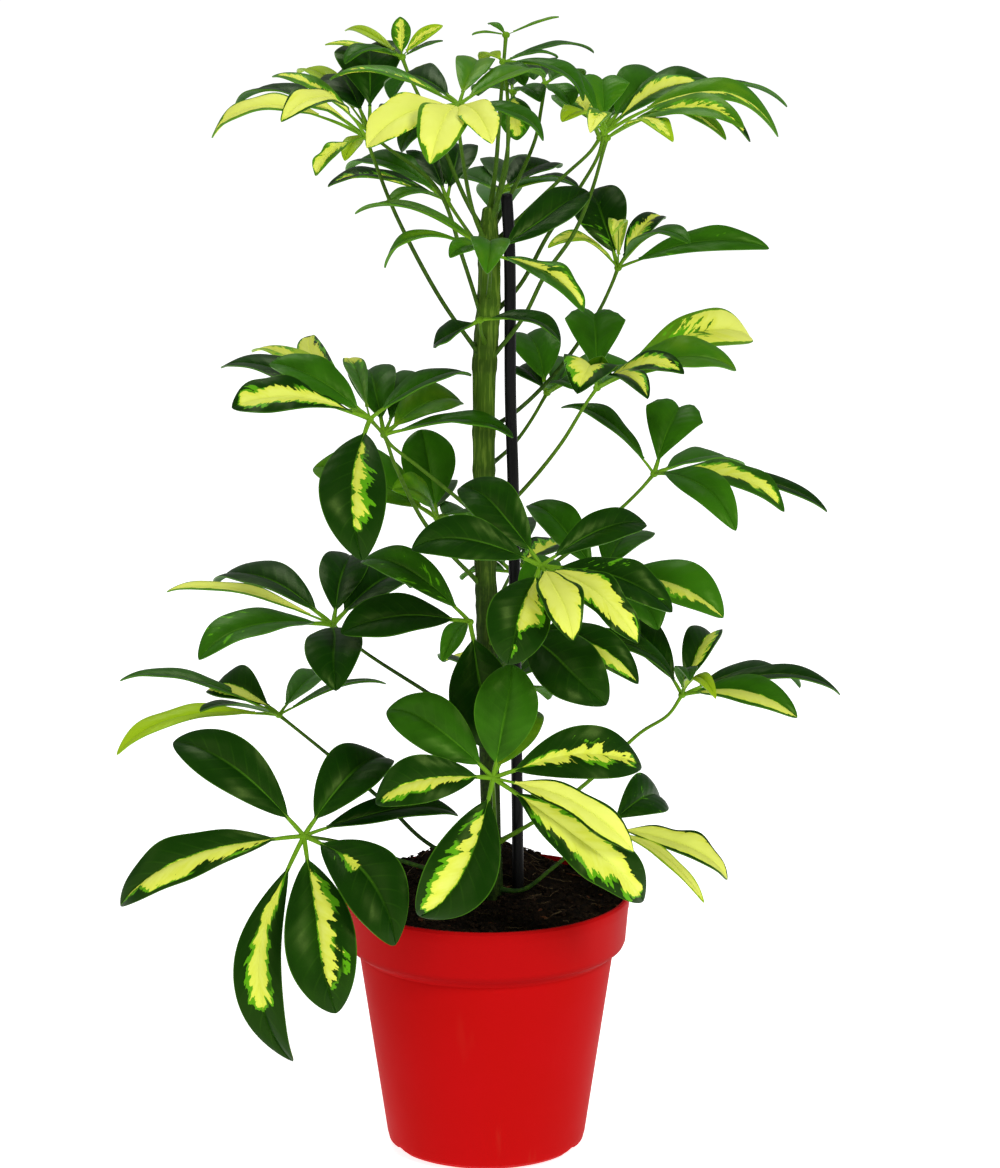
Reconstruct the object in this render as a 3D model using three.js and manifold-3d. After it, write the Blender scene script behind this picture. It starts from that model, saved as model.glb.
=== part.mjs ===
// A variegated umbrella plant in a round red nursery pot, tied to nothing beside a thin black stake.
//
// Millimetres, +Z up, +X to the viewer's right, +Y away from the viewer.
// The origin is the centre of the pot's foot, on the surface that the pot stands on.
//
// Every compound leaf is one closed solid: a petiole, a hub, and leaflets that radiate from the hub.
// A leaflet is a thin arched blade with a rib. Hubs, tips and petiole bends are written as the place
// where they are seen in a 1000 x 1168 picture, with their distance in front of the pot's axis.
import * as THREE from 'three';
import { mergeVertices } from 'three/addons/utils/BufferGeometryUtils.js';
import Module from 'manifold-3d';

const wasm = await Module();
wasm.setup();

const rad = THREE.MathUtils.degToRad;
const GAP = 0.3; // clearance between neighbouring solids

// ---------------------------------------------------------------- driving dimensions

const POT = {
  rimRadius: 65, // outer, at the lip: a 13 cm pot
  rimHeight: 119,
  lipRound: 1.2,
  collarFootRadius: 63.2,
  collarFootHeight: 97,
  stepRadius: 57.8, // the body just under the collar
  stepHeight: 92.5,
  shoulderRadius: 45.2, // the body just above the rounded foot
  shoulderHeight: 6.5,
  heelWidth: 4, // the rounding between the foot and the shoulder
  heelHeight: 1.6,
  footRadius: 38.5,
  footWidth: 4.5,
  wall: 1.6,
  lipInset: 0.5,
  ledgeRise: 0.8, // how much higher the step is on the inside
  cornerRadius: 37.5, // where the floor turns up into the wall, on the inside
  cornerHeight: 10.5,
  padRadius: 12, // the flat pad under the middle of the pot
  recess: 1.4, // the floor's underside, between the pad and the foot ring
  floorHeight: 4.4, // the floor's upper face
  sides: 40,
};
const NOTCH = { bearings: [90, 208, 332], halfWidth: 7, height: 4.2, depth: 9, inset: 1.5, sides: 12 };
const DRAIN = { count: 6, radius: 3.2, ring: 23, firstTurn: 0.25, sides: 8 };
const SOIL = {
  brim: 116.2, // height of the peat in front
  topRadius: 61.2,
  edgeRadius: 61.8, // just under the top
  edgeDrop: 2,
  collarRadius: 60.2, // low in the hollow collar
  collarHeight: 102,
  cornerHeight: 11.5,
  floorRadius: 36.5,
  clear: 0.4, // between the peat and the pot
  heap: 18, // how far the peat is heaped up behind the plant
  heapX: -6,
  heapY: 38,
  heapSpread: 34,
  heapEnd: 62, // the radius at which the heap has run out
  heapFall: 6, // how suddenly it falls there, as a power
  lump: 0.7,
  sides: 24,
  rings: 5,
};
const LUMPS = { wide: 0.41, shift: 1.3, deep: 0.37, slanting: 0.23 }; // how close the lumps lie
const STEM = { depth: 45, sides: 12 };
const STAKE = { radius: 2.6, tip: 22, holeOver: 30, sides: 10 };
const PETIOLE = { radius: 0.95, sides: 5, steps: 5 };
const HUB = { width: 4.4, inset: 0.97 }; // the knob the leaflets spread from, and how deep they start in it
const BLADE = {
  edge: 0.7, // thickness at the margin
  rib: 1.1, // thickness along the midrib
  stalk: 2.0, // width of the little stalk
  stalkThickness: 1.54,
  stalkShare: 0.15, // the little stalk's share of the whole length
  fold: 12, // degrees that each half rises from the midrib
  arch: 0.16, // height of the bow over the chord, as a share of the length
  droop: 0.14,
  long: 60, // leaflets longer than this have a finer outline
  longStations: [0.24, 0.56, 0.86],
  shortStations: [0.42, 0.82],
};
const OUTLINE = { skew: 1.12, fullness: 0.72 };
const RIB = { risingAt: 0.3, rise: 0.6, fallingAt: 0.74, fall: 1.3 }; // how the midrib bends

// ---------------------------------------------------------------- the view that places are read in

const VIEW = { x: 6.3, distance: 2000, height: 721, pitch: 12.94, focal: 4604, centreX: 500, centreY: 584 };

// The point that is seen at pixel (px, py) and lies `front` mm nearer the viewer than the pot's axis.
function seenAt(px, py, front = 0) {
  const pitch = rad(VIEW.pitch);
  const right = (px - VIEW.centreX) / VIEW.focal;
  const up = (VIEW.centreY - py) / VIEW.focal;
  const ray = new THREE.Vector3(
    right,
    Math.cos(pitch) + up * Math.sin(pitch),
    up * Math.cos(pitch) - Math.sin(pitch),
  );
  const eye = new THREE.Vector3(VIEW.x, -VIEW.distance, VIEW.height);
  return eye.addScaledVector(ray, (VIEW.distance - front) / ray.y);
}

// ---------------------------------------------------------------- the stem and the stake

// Seen places up the main stem, with its radius there: [px, py, front, radius].
const STEM_LINE = [
  [492.5, 893, 7, 4.3],
  [489, 760, 6, 4.4],
  [486, 600, 4, 4.5],
  [484, 482, 2, 4.7],
  [485, 365, 0, 5.1],
  [489.5, 278, 0, 5],
  [489, 238, -1, 4.2],
  [490, 206, -2, 2.8],
];
// Seen places up the stake.
const STAKE_LINE = [
  [518, 893, 0],
  [515.5, 665, 0],
  [513, 480, 0],
  [510.5, 400, 0],
  [509.5, 250, 0],
  [506, 187, 0],
];

// ---------------------------------------------------------------- the leaves

// petiole: bends from the hub down, [px, py, front]; joins: the pixel row where it meets the stem.
// tilt turns a blade's upper face from the sky towards the viewer, in degrees.
// arch is how far a rib rises off its chord, and bow how far it swings aside, as shares of its length.
// A larger skew than most moves a blade's widest place towards its tip, as in the heart-shaped ones.
// leaflets: [tip px, tip py, tip front, width mm, arch, tilt, bow, fold, skew], the last five optional.
const LEAVES = [
  {
    name: 'leaf_low_left_front',
    hub: [304, 836, 58],
    tilt: 58,
    petiole: [[340, 842, 50], [425, 868, 24]],
    joins: 888,
    leaflets: [
      [174, 742, 40, 25],
      [121, 906, 62, 21],
      [293, 1061, 76, 22, 0.14, 58, -0.22],
      [336, 1013, 92, 32, 0.12, 66, -0.04],
      [395, 945, 92, 30, 0.14, 66, 0.12],
      [388, 760, 22, 28, 0.2, 40],
      [458, 816, 26, 18, 0.08, 28],
    ],
  },
  {
    name: 'leaf_low_left_back',
    hub: [279, 715, -8],
    tilt: 4,
    petiole: [[325, 752, -6], [385, 803, -3], [426, 842, 0]],
    joins: 876,
    leaflets: [
      [120, 681, -22, 15, 0.14, -2],
      [117, 755, 22, 15, 0.16, 12],
      [200, 712, 44, 11, 0.06, 8],
      [214, 690, -30, 22, 0.2, 40, 0, 12, 1.5],
      [328, 677, -62, 15, 0.1, 22],
      [386, 684, -22, 12, 0.14, -6],
    ],
  },
  {
    name: 'leaf_left_middle',
    hub: [333, 625, 15],
    tilt: 14,
    petiole: [[362, 650, 14], [443, 703, 9]],
    joins: 738,
    leaflets: [
      [167, 592, 6, 12, 0.11, 8],
      [216, 585, -36, 24, 0.18, 12],
      [199, 660, 50, 24, 0.16, 14],
      [350, 556, -38, 22, 0.06, 45],
      [410, 588, -34, 25, 0.2, 20],
      [336, 691, 64, 26, 0.12, 56],
    ],
  },
  {
    name: 'leaf_mid_left_front',
    hub: [470, 622, 38],
    tilt: 36,
    petiole: [[478, 656, 24]],
    joins: 704,
    leaflets: [
      [362, 562, 8, 19],
      [341, 633, 56, 23, 0.05, 40],
      [492, 748, 50, 31, 0.14, 78, -0.02],
      [442, 662, 70, 10, 0.12, 50],
    ],
  },
  {
    name: 'leaf_low_front',
    hub: [493, 778, 76],
    tilt: 64,
    petiole: [[494, 800, 52], [495, 838, 22]],
    joins: 862,
    leaflets: [
      [388, 710, 60, 25],
      [376, 803, 86, 22],
      [420, 916, 92, 31, 0.16, 64, 0.22],
      [643, 901, 80, 25, 0.16, 64, -0.06],
      [633, 852, 90, 14, 0.2],
      [641, 766, 62, 25],
      [512, 665, 66, 28, 0.12, 70, -0.04],
      [537, 712, 48, 18],
    ],
  },
  {
    name: 'leaf_mid_front',
    hub: [541, 566, 88],
    tilt: 52,
    petiole: [[535, 592, 66], [518, 648, 32]],
    joins: 678,
    leaflets: [
      [460, 488, 62, 22],
      [412, 549, 88, 21],
      [508, 664, 112, 28, 0.14, 64],
      [573, 641, 124, 18, 0.14, 56],
      [638, 643, 116, 17],
      [672, 612, 98, 19, 0.1, 44],
      [646, 525, 60, 17, 0.08, 44],
    ],
  },
  {
    name: 'leaf_mid_right_back',
    hub: [600, 580, -16],
    tilt: 26,
    petiole: [[575, 600, -16], [532, 650, -14]],
    joins: 700,
    leaflets: [
      [723, 618, 12, 28, 0.16, 30],
      [658, 630, 36, 25, 0.14, 34],
      [638, 540, -66, 24, 0.18, 30],
      [528, 506, -46, 20, 0.14, 34],
    ],
  },
  {
    name: 'leaf_mid_right_front',
    hub: [520, 628, 28],
    tilt: 44,
    petiole: [[504, 637, 20]],
    joins: 644,
    leaflets: [
      [606, 705, 62, 30, 0.16, 50, -0.12],
      [638, 684, 54, 18],
      [674, 682, 16, 11, 0.14, 30],
      [552, 560, -4, 17],
    ],
  },
  {
    name: 'leaf_low_right',
    hub: [682, 695, 8],
    tilt: 12,
    petiole: [[668, 715, 8], [640, 733, 9], [590, 780, 10], [540, 818, 10]],
    joins: 846,
    leaflets: [
      [616, 626, -28, 18, 0.2, 30],
      [713, 637, -30, 18, 0.2, 34, 0, 30],
      [690, 681, 44, 10, 0.2, 30],
      [716, 699, 50, 8, 0.2, 34],
      [797, 718, 38, 18, 0.14, 34],
      [840, 695, -4, 15],
      [800, 688, -42, 14],
    ],
  },
  {
    name: 'leaf_low_right_gold',
    hub: [606, 828, 24],
    tilt: 34,
    petiole: [[600, 830, 23], [555, 866, 18], [522, 890, 14]],
    joins: 888,
    leaflets: [
      [660, 799, -14, 22, 0.1, 64, 0, 12, 1.4],
      [727, 880, 28, 16, 0.14, 30],
      [704, 903, 66, 6.5, 0.12, 26],
      [578, 815, -44, 12, 0.04, 30],
    ],
  },
  {
    name: 'leaf_right_middle',
    hub: [654, 474, -4],
    tilt: 14,
    petiole: [[640, 490, -4], [617, 512, -6], [556, 562, -10], [520, 586, -10]],
    joins: 606,
    leaflets: [
      [561, 408, -26, 14, 0.2, 6],
      [682, 404, -30, 27, 0.08, 40, 0, 8, 1.9],
      [827, 512, -6, 13, 0.1],
      [784, 512, 18, 17, 0.18, 26],
      [742, 474, -46, 20, 0.16, 4],
      [736, 531, 50, 17, 0.16, 52, 0, 12, 1.3],
    ],
  },
  {
    name: 'leaf_upper_right_front',
    hub: [597, 388, 26],
    tilt: 16,
    petiole: [[585, 405, 20], [560, 445, 4], [525, 488, -9]],
    joins: 528,
    leaflets: [
      [594, 311, -10, 27, 0.08, 40, 0, 8, 1.9],
      [577, 394, 78, 24, 0.18, 50],
      [603, 356, 44, 12, 0.1, 60],
      [736, 371, 26, 24, 0.18, 22],
      [750, 338, -30, 22, 0.1, 58, 0, 12, 1.8],
      [684, 374, 50, 17, 0.16, 26],
      [648, 399, 74, 14, 0.16, 24],
    ],
  },
  {
    name: 'leaf_upper_right_back',
    hub: [547, 393, -44],
    tilt: 10,
    petiole: [[530, 422, -36], [512, 446, -22]],
    joins: 470,
    leaflets: [
      [525, 338, -84, 24, 0.24, 16],
      [514, 372, -76, 18],
      [577, 390, -22, 18, 0.18, 20],
      [590, 380, -98, 24, 0.18, 10],
      [640, 376, -72, 24, 0.18, 10],
    ],
  },
  {
    name: 'leaf_upper_left_front',
    hub: [370, 419, 35],
    tilt: 18,
    petiole: [[384, 436, 33], [395, 465, 29], [428, 528, 16]],
    joins: 590,
    leaflets: [
      [221, 368, -4, 19, 0.1],
      [232, 408, 54, 22, 0.1, 34, 0, 12, 1.7],
      [362, 560, 78, 30, 0.16, 76, -0.1],
      [270, 364, 26, 22, 0.08, 30],
      [252, 352, -40, 13, 0.08],
      [312, 336, -60, 13, 0, 30, 0.12],
      [349, 359, -30, 10, 0.05, 18, 0, 12, 1.5],
      [471, 376, 2, 18, 0.14, 2],
    ],
  },
  {
    name: 'leaf_upper_left_back',
    hub: [384, 435, 6],
    tilt: 14,
    petiole: [[390, 444, 6], [420, 468, 7], [462, 502, 6]],
    joins: 522,
    leaflets: [
      [462, 404, -14, 24, 0.2, 20],
      [366, 376, -44, 22, 0.2, 34],
      [513, 438, 16, 18, 0.16, 4],
      [428, 384, -50, 18, 0.2, 20],
    ],
  },
  {
    name: 'leaf_left_inner',
    hub: [437, 518, -22],
    tilt: 40,
    petiole: [[452, 536, -14]],
    joins: 562,
    leaflets: [
      [421, 430, -40, 25, 0.04, 56],
      [392, 490, 2, 18, 0.16, 44],
      [314, 468, -44, 30, 0.06, 36],
      [474, 524, -54, 22, 0.14, 20],
      [430, 500, -88, 24, 0.16, 10],
    ],
  },
  {
    name: 'leaf_top_left_front',
    hub: [366, 137, 26],
    tilt: 4,
    stalk: 0.3,
    petiole: [[376, 165, 26], [396, 215, 24], [440, 298, 12]],
    joins: 362,
    leaflets: [
      [212, 138, 22, 17, 0.26, 20],
      [236, 106, -10, 18, 0.22],
      [288, 104, 44, 13, 0.1, 20],
      [316, 176, 40, 10, 0.2, 20],
      [281, 122, 74, 15, 0.24, 30],
    ],
  },
  {
    name: 'leaf_top_left_back',
    hub: [370, 134, -14],
    tilt: 8,
    stalk: 0.25,
    petiole: [[384, 145, -8], [438, 190, 8], [464, 262, 6]],
    joins: 334,
    leaflets: [
      [272, 77, -30, 13, 0.14],
      [298, 74, -70, 12, 0.16],
      [345, 161, 12, 9, 0.16, 10],
      [370, 45, -46, 31, 0.12, 64, 0, 12, 1.6],
      [334, 80, -60, 24, 0.16, 50],
      [420, 128, -76, 22, 0.16],
    ],
  },
  {
    name: 'leaf_top_tuft',
    hub: [402, 57, -22],
    tilt: 30,
    petiole: [[409, 75, -22], [441, 142, -15], [466, 200, -6]],
    joins: 240,
    leaflets: [
      [400, 17, -22, 9, 0.04, 84],
      [443, 26, -18, 6, 0.06, 60],
      [443, 41, -30, 5, 0.06, 0],
      [325, 45, -38, 5, 0.02, 20],
      [345, 31, -64, 5.5, 0.02, 40],
      [345, 64, -2, 14, 0.2, 10],
    ],
  },
  {
    name: 'leaf_top_sprig',
    hub: [506, 35, -16],
    tilt: 0,
    petiole: [[504, 60, -12], [500, 110, -6], [496, 165, -6]],
    joins: 212,
    leaflets: [
      [559, 17, -16, 4, 0.04],
      [488, 24, -22, 5],
      [472, 35, -10, 3.5, 0.1],
    ],
  },
  {
    name: 'leaf_top_front',
    hub: [459, 105, 52],
    tilt: 30,
    petiole: [[458, 115, 49], [463, 160, 30], [474, 215, 9]],
    joins: 250,
    leaflets: [
      [367, 148, 74, 20, 0.15, 44],
      [430, 164, 88, 22, 0.2, 56],
      [492, 144, 88, 16, 0.12, 50],
      [543, 141, 58, 14, 0.2, 14],
      [330, 80, 30, 14, 0.16, 2],
      [484, 74, 2, 17, 0.22, 20],
      [392, 100, 10, 20, 0.26, 20],
      [545, 78, 16, 17, 0.16, 4],
      [402, 152, 58, 15, 0.2, 20],
    ],
  },
  {
    name: 'leaf_top_young',
    hub: [503, 62, -2],
    tilt: 6,
    petiole: [[507, 90, 4], [508, 130, 7], [506, 170, 7]],
    joins: 226,
    leaflets: [
      [583, 101, 8, 17, 0.26],
      [558, 58, -16, 7, 0.14],
      [594, 53, -52, 7, 0.1],
      [482, 64, -26, 9, 0.2],
      [524, 86, 14, 10, 0.2],
    ],
  },
  {
    name: 'leaf_top_inner',
    hub: [513, 92, -32],
    tilt: 20,
    petiole: [[511, 115, -28], [505, 165, -16]],
    joins: 226,
    leaflets: [
      [517, 140, -18, 15, 0.14, 50],
      [540, 102, -8, 13, 0.16, 20],
      [478, 96, -52, 16, 0.16, 10],
      [506, 86, -76, 18, 0.16],
    ],
  },
  {
    name: 'leaf_top_back',
    hub: [545, 84, -44],
    tilt: 6,
    petiole: [[541, 110, -38], [535, 140, -30], [508, 200, -12]],
    joins: 234,
    leaflets: [
      [570, 106, -30, 15, 0.2],
      [534, 80, -92, 18, 0.2],
      [580, 80, -66, 15, 0.2],
    ],
  },
  {
    name: 'leaf_top_right_front',
    hub: [607, 138, 24],
    tilt: 8,
    stalk: 0.3,
    petiole: [[603, 152, 22], [592, 190, 17], [573, 235, 11], [545, 275, 8], [523, 318, 7]],
    joins: 366,
    leaflets: [
      [750, 142, 36, 13, 0.3],
      [726, 140, 66, 12, 0.24, 16],
      [744, 128, 78, 15, 0.12, 40],
      [673, 142, 70, 11, 0.2],
      [590, 133, 62, 10, 0.24, 40],
    ],
  },
  {
    name: 'leaf_top_right_middle',
    hub: [604, 134, -8],
    tilt: 6,
    stalk: 0.25,
    petiole: [[598, 156, -8], [575, 195, -9], [548, 235, -9], [520, 285, -9]],
    joins: 320,
    leaflets: [
      [778, 137, -6, 17, 0.34, 26],
      [787, 107, -48, 12, 0.2],
      [602, 77, -30, 24, 0.08, 40, 0, 8, 1.9],
      [562, 122, 14, 14, 0.26, 10],
      [547, 68, -14, 13, 0.24],
    ],
  },
  {
    name: 'leaf_top_right_back',
    hub: [600, 138, -38],
    tilt: 12,
    stalk: 0.25,
    petiole: [[590, 152, -36], [565, 175, -28], [530, 208, -16]],
    joins: 248,
    leaflets: [
      [668, 84, -72, 26, 0.2, 34],
      [636, 100, -86, 22, 0.2, 20],
      [700, 84, -40, 15, 0.14, 26],
      [722, 92, -64, 20, 0.26],
      [566, 110, -86, 22, 0.2],
    ],
  },
  {
    name: 'leaf_crown_right',
    hub: [618, 268, -14],
    tilt: 12,
    petiole: [[611, 286, -18], [596, 316, -26], [558, 370, -20], [518, 410, -11]],
    joins: 432,
    leaflets: [
      [769, 249, -12, 14, 0.08, 40],
      [586, 194, -46, 25, 0.2, 50],
      [548, 248, 6, 12, 0.24, 20],
      [612, 236, 30, 9, 0.24, 40],
      [664, 219, -52, 12, 0.16, 20],
      [690, 244, 26, 15, 0.2, 16],
    ],
  },
  {
    name: 'leaf_crown_front',
    hub: [492, 255, 52],
    tilt: 24,
    petiole: [[490, 274, 28]],
    joins: 300,
    leaflets: [
      [385, 268, 44, 11, 0.34, 24, 0, 12, 2.4],
      [355, 214, 30, 14, 0.2, 0],
      [450, 258, 72, 12, 0.2, 20],
      [487, 274, 104, 17, 0.14, 64],
      [588, 192, 18, 18, 0.03, 46, -0.08],
      [583, 312, 74, 15, 0.16, 16],
    ],
  },
  {
    name: 'leaf_stem_front',
    hub: [480, 320, 30],
    tilt: 4,
    petiole: [[481, 332, 16]],
    joins: 346,
    leaflets: [
      [434, 346, 24, 20, 0, 20, 0, 12, 1.5],
      [560, 342, 36, 17, 0.22, 6],
    ],
  },
  {
    name: 'leaf_crown_left',
    hub: [447, 200, -8],
    tilt: 8,
    petiole: [[456, 214, -6]],
    joins: 262,
    leaflets: [
      [347, 172, -46, 21, 0.2],
      [328, 187, 0, 21, 0.16, 4],
      [386, 206, 18, 10, 0.16, 14],
      [418, 160, -58, 18, 0.16, 30],
      [464, 150, -50, 18, 0.14, 50],
    ],
  },
  {
    name: 'leaf_low_back',
    hub: [500, 690, -60],
    tilt: 2,
    petiole: [[498, 704, -36]],
    joins: 736,
    leaflets: [
      [500, 644, -132, 21],
      [444, 662, -104, 21],
      [562, 664, -102, 21],
      [462, 706, -80, 18],
      [548, 700, -78, 18],
    ],
  },
  {
    name: 'leaf_mid_back',
    hub: [512, 572, -62],
    tilt: 2,
    petiole: [[504, 588, -36]],
    joins: 626,
    leaflets: [
      [516, 528, -134, 21],
      [456, 548, -106, 21],
      [576, 552, -104, 21],
      [462, 580, -74, 18],
      [570, 584, -74, 18],
    ],
  },
  {
    name: 'leaf_crown_back',
    hub: [500, 192, -48],
    tilt: 0,
    petiole: [[497, 210, -30]],
    joins: 256,
    leaflets: [
      [578, 188, -36, 22, 0.16, -2],
      [558, 168, -78, 22, 0.14, 6],
      [506, 168, -104, 22, 0.14, 8],
      [446, 184, -88, 22, 0.14, 4],
      [500, 216, -118, 22, 0.14, 0],
    ],
  },
];

// ---------------------------------------------------------------- geometry helpers

// A closed body from equal rings of points, joined ring to ring. It is capped flat at the start,
// and at the end too, or drawn to a point there.
function loft(rings, point = null) {
  const count = rings[0].length;
  const positions = [...rings.flat(), ...(point ? [point] : [])].flatMap((p) => p.toArray());
  const index = [];
  for (let ring = 0; ring < rings.length - 1; ring += 1) {
    for (let side = 0; side < count; side += 1) {
      const a = ring * count + side;
      const b = ring * count + ((side + 1) % count);
      // the diagonal mirrors across the section, so both faces of a blade are split alike
      if (side < count / 2) index.push(a, b, b + count, a, b + count, a + count);
      else index.push(a, b, a + count, b, b + count, a + count);
    }
  }
  const last = (rings.length - 1) * count;
  for (let side = 1; side < count - 1; side += 1) index.push(0, side + 1, side);
  if (point) {
    const end = rings.length * count;
    for (let side = 0; side < count; side += 1) index.push(last + side, last + ((side + 1) % count), end);
  } else {
    for (let side = 1; side < count - 1; side += 1) index.push(last, last + side, last + side + 1);
  }
  const geometry = new THREE.BufferGeometry();
  geometry.setAttribute('position', new THREE.Float32BufferAttribute(positions, 3));
  geometry.setIndex(index);
  return geometry;
}

function toSolid(geometry) {
  const bare = geometry.clone();
  bare.deleteAttribute('normal');
  bare.deleteAttribute('uv');
  const merged = mergeVertices(bare, 1e-4);
  return new wasm.Manifold(new wasm.Mesh({
    numProp: 3,
    vertProperties: new Float32Array(merged.attributes.position.array),
    triVerts: new Uint32Array(merged.index.array),
  }));
}

function toGeometry(solid) {
  const mesh = solid.getMesh();
  const geometry = new THREE.BufferGeometry();
  geometry.setAttribute('position', new THREE.BufferAttribute(mesh.vertProperties, 3));
  geometry.setIndex(new THREE.BufferAttribute(mesh.triVerts, 1));
  geometry.computeVertexNormals();
  return geometry;
}

function named(name, geometry, material) {
  const mesh = new THREE.Mesh(geometry, material);
  mesh.name = name;
  return mesh;
}

// A regular polygon for extruding along a path.
function polygon(radius, sides) {
  const corners = [];
  for (let side = 0; side < sides; side += 1) {
    const angle = (2 * Math.PI * side) / sides;
    corners.push(new THREE.Vector2(radius * Math.cos(angle), radius * Math.sin(angle)));
  }
  return new THREE.Shape(corners);
}

// A round bar of changing radius through a list of points.
function bar(points, radii, sides) {
  const rings = points.map((point, i) => {
    const ring = [];
    for (let side = 0; side < sides; side += 1) {
      const angle = (2 * Math.PI * side) / sides;
      ring.push(new THREE.Vector3(
        point.x + radii[i] * Math.cos(angle),
        point.y + radii[i] * Math.sin(angle),
        point.z,
      ));
    }
    return ring;
  });
  return loft(rings);
}

// ---------------------------------------------------------------- leaf pieces

// Half the blade's width, as a share of its widest, at share s from its base to its tip.
function outline(s, skew) {
  return Math.sin(Math.PI * s ** skew) ** OUTLINE.fullness;
}

function leafletSolid(hub, spec, leaf) {
  const [px, py, front, width, arch = BLADE.arch, tilt = leaf.tilt, bow = 0, ...form] = spec;
  const [fold = BLADE.fold, skew = OUTLINE.skew] = form;
  const tip = seenAt(px, py, front);
  const chord = tip.clone().sub(hub);
  const length = chord.length();
  const along = chord.clone().normalize();
  const face = new THREE.Vector3(0, -Math.sin(rad(tilt)), Math.cos(rad(tilt)));
  face.addScaledVector(along, -face.dot(along)).normalize();
  const side = new THREE.Vector3().crossVectors(face, along).normalize();
  const upright = new THREE.Vector3(0, 0, 1).addScaledVector(along, -along.z);
  const lift = face.clone().multiplyScalar(arch * length)
    .addScaledVector(upright, BLADE.droop * Math.sin(rad(tilt)) * length)
    .addScaledVector(side, bow * length);
  const rib = new THREE.CubicBezierCurve3(
    hub,
    hub.clone().addScaledVector(chord, RIB.risingAt).addScaledVector(lift, RIB.rise),
    hub.clone().addScaledVector(chord, RIB.fallingAt).addScaledVector(lift, RIB.fall),
    tip,
  );
  const stalkShare = leaf.stalk ?? BLADE.stalkShare;
  const blade = length > BLADE.long ? BLADE.longStations : BLADE.shortStations;
  const stalk = { half: BLADE.stalk / 2, bend: 0, thick: BLADE.stalkThickness };
  const stations = [
    { ...stalk, at: HUB.inset / length },
    { ...stalk, at: stalkShare },
    ...blade.map((s) => ({
      at: stalkShare + (1 - stalkShare) * s,
      half: (width / 2) * outline(s, skew),
      bend: rad(fold),
      thick: BLADE.rib,
    })),
  ];
  const rings = stations.map(({ at, half, bend, thick }) => {
    const centre = rib.getPoint(at);
    const tangent = rib.getTangent(at);
    const up = new THREE.Vector3().crossVectors(tangent, side).normalize();
    const place = (across, rise) => centre.clone().addScaledVector(side, across).addScaledVector(up, rise);
    const reach = half * Math.cos(bend);
    const raised = half * Math.sin(bend);
    const edge = bend ? BLADE.edge / 2 : thick / 2;
    return [
      place(-reach, raised - edge),
      place(0, -thick / 2),
      place(reach, raised - edge),
      place(reach, raised + edge),
      place(0, thick / 2),
      place(-reach, raised + edge),
    ];
  });
  return toSolid(loft(rings, tip));
}

function petioleSolid(points) {
  const path = new THREE.CatmullRomCurve3(points, false, 'centripetal');
  const section = polygon(PETIOLE.radius, PETIOLE.sides);
  return toSolid(new THREE.ExtrudeGeometry(section, { steps: PETIOLE.steps, extrudePath: path }));
}

// The point on the stem's centre line that is seen at pixel row `row`.
function stemAt(row) {
  const above = STEM_LINE.findIndex(([, py]) => py <= row);
  const [x1, y1, f1] = STEM_LINE[above];
  const [x0, y0, f0] = STEM_LINE[Math.max(above - 1, 0)];
  const share = y0 === y1 ? 0 : (row - y0) / (y1 - y0);
  return seenAt(x0 + (x1 - x0) * share, row, f0 + (f1 - f0) * share);
}

function leafMesh(leaf, stemClearance) {
  const hub = seenAt(...leaf.hub);
  const bends = leaf.petiole.map((place) => seenAt(...place));
  const knob = new THREE.BoxGeometry(HUB.width, HUB.width, HUB.width).translate(hub.x, hub.y, hub.z);
  let solid = petioleSolid([hub, ...bends, stemAt(leaf.joins)]).add(toSolid(knob));
  for (const leaflet of leaf.leaflets) solid = solid.add(leafletSolid(hub, leaflet, leaf));
  return named(leaf.name, toGeometry(solid.subtract(stemClearance)), LEAF_GREEN);
}

// ---------------------------------------------------------------- stem and stake

const stemPoints = STEM_LINE.map(([px, py, front]) => seenAt(px, py, front));
const stemRadii = STEM_LINE.map(([, , , radius]) => radius);

function stemGeometry(extra = 0) {
  const root = stemPoints[0].clone();
  root.z = stemPoints[0].z - STEM.depth - extra;
  return bar([root, ...stemPoints], [stemRadii[0], ...stemRadii].map((r) => r + extra), STEM.sides);
}

function stakeGeometry() {
  const points = STAKE_LINE.map((place) => seenAt(...place));
  const tip = points[0].clone();
  tip.z = STAKE.tip;
  return bar([tip, ...points], Array(points.length + 1).fill(STAKE.radius), STAKE.sides);
}

// ---------------------------------------------------------------- pot and soil

const radiusInside = (height) => {
  const share = (height - POT.shoulderHeight) / (POT.stepHeight - POT.shoulderHeight);
  return POT.shoulderRadius + (POT.stepRadius - POT.shoulderRadius) * share - POT.wall;
};

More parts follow.
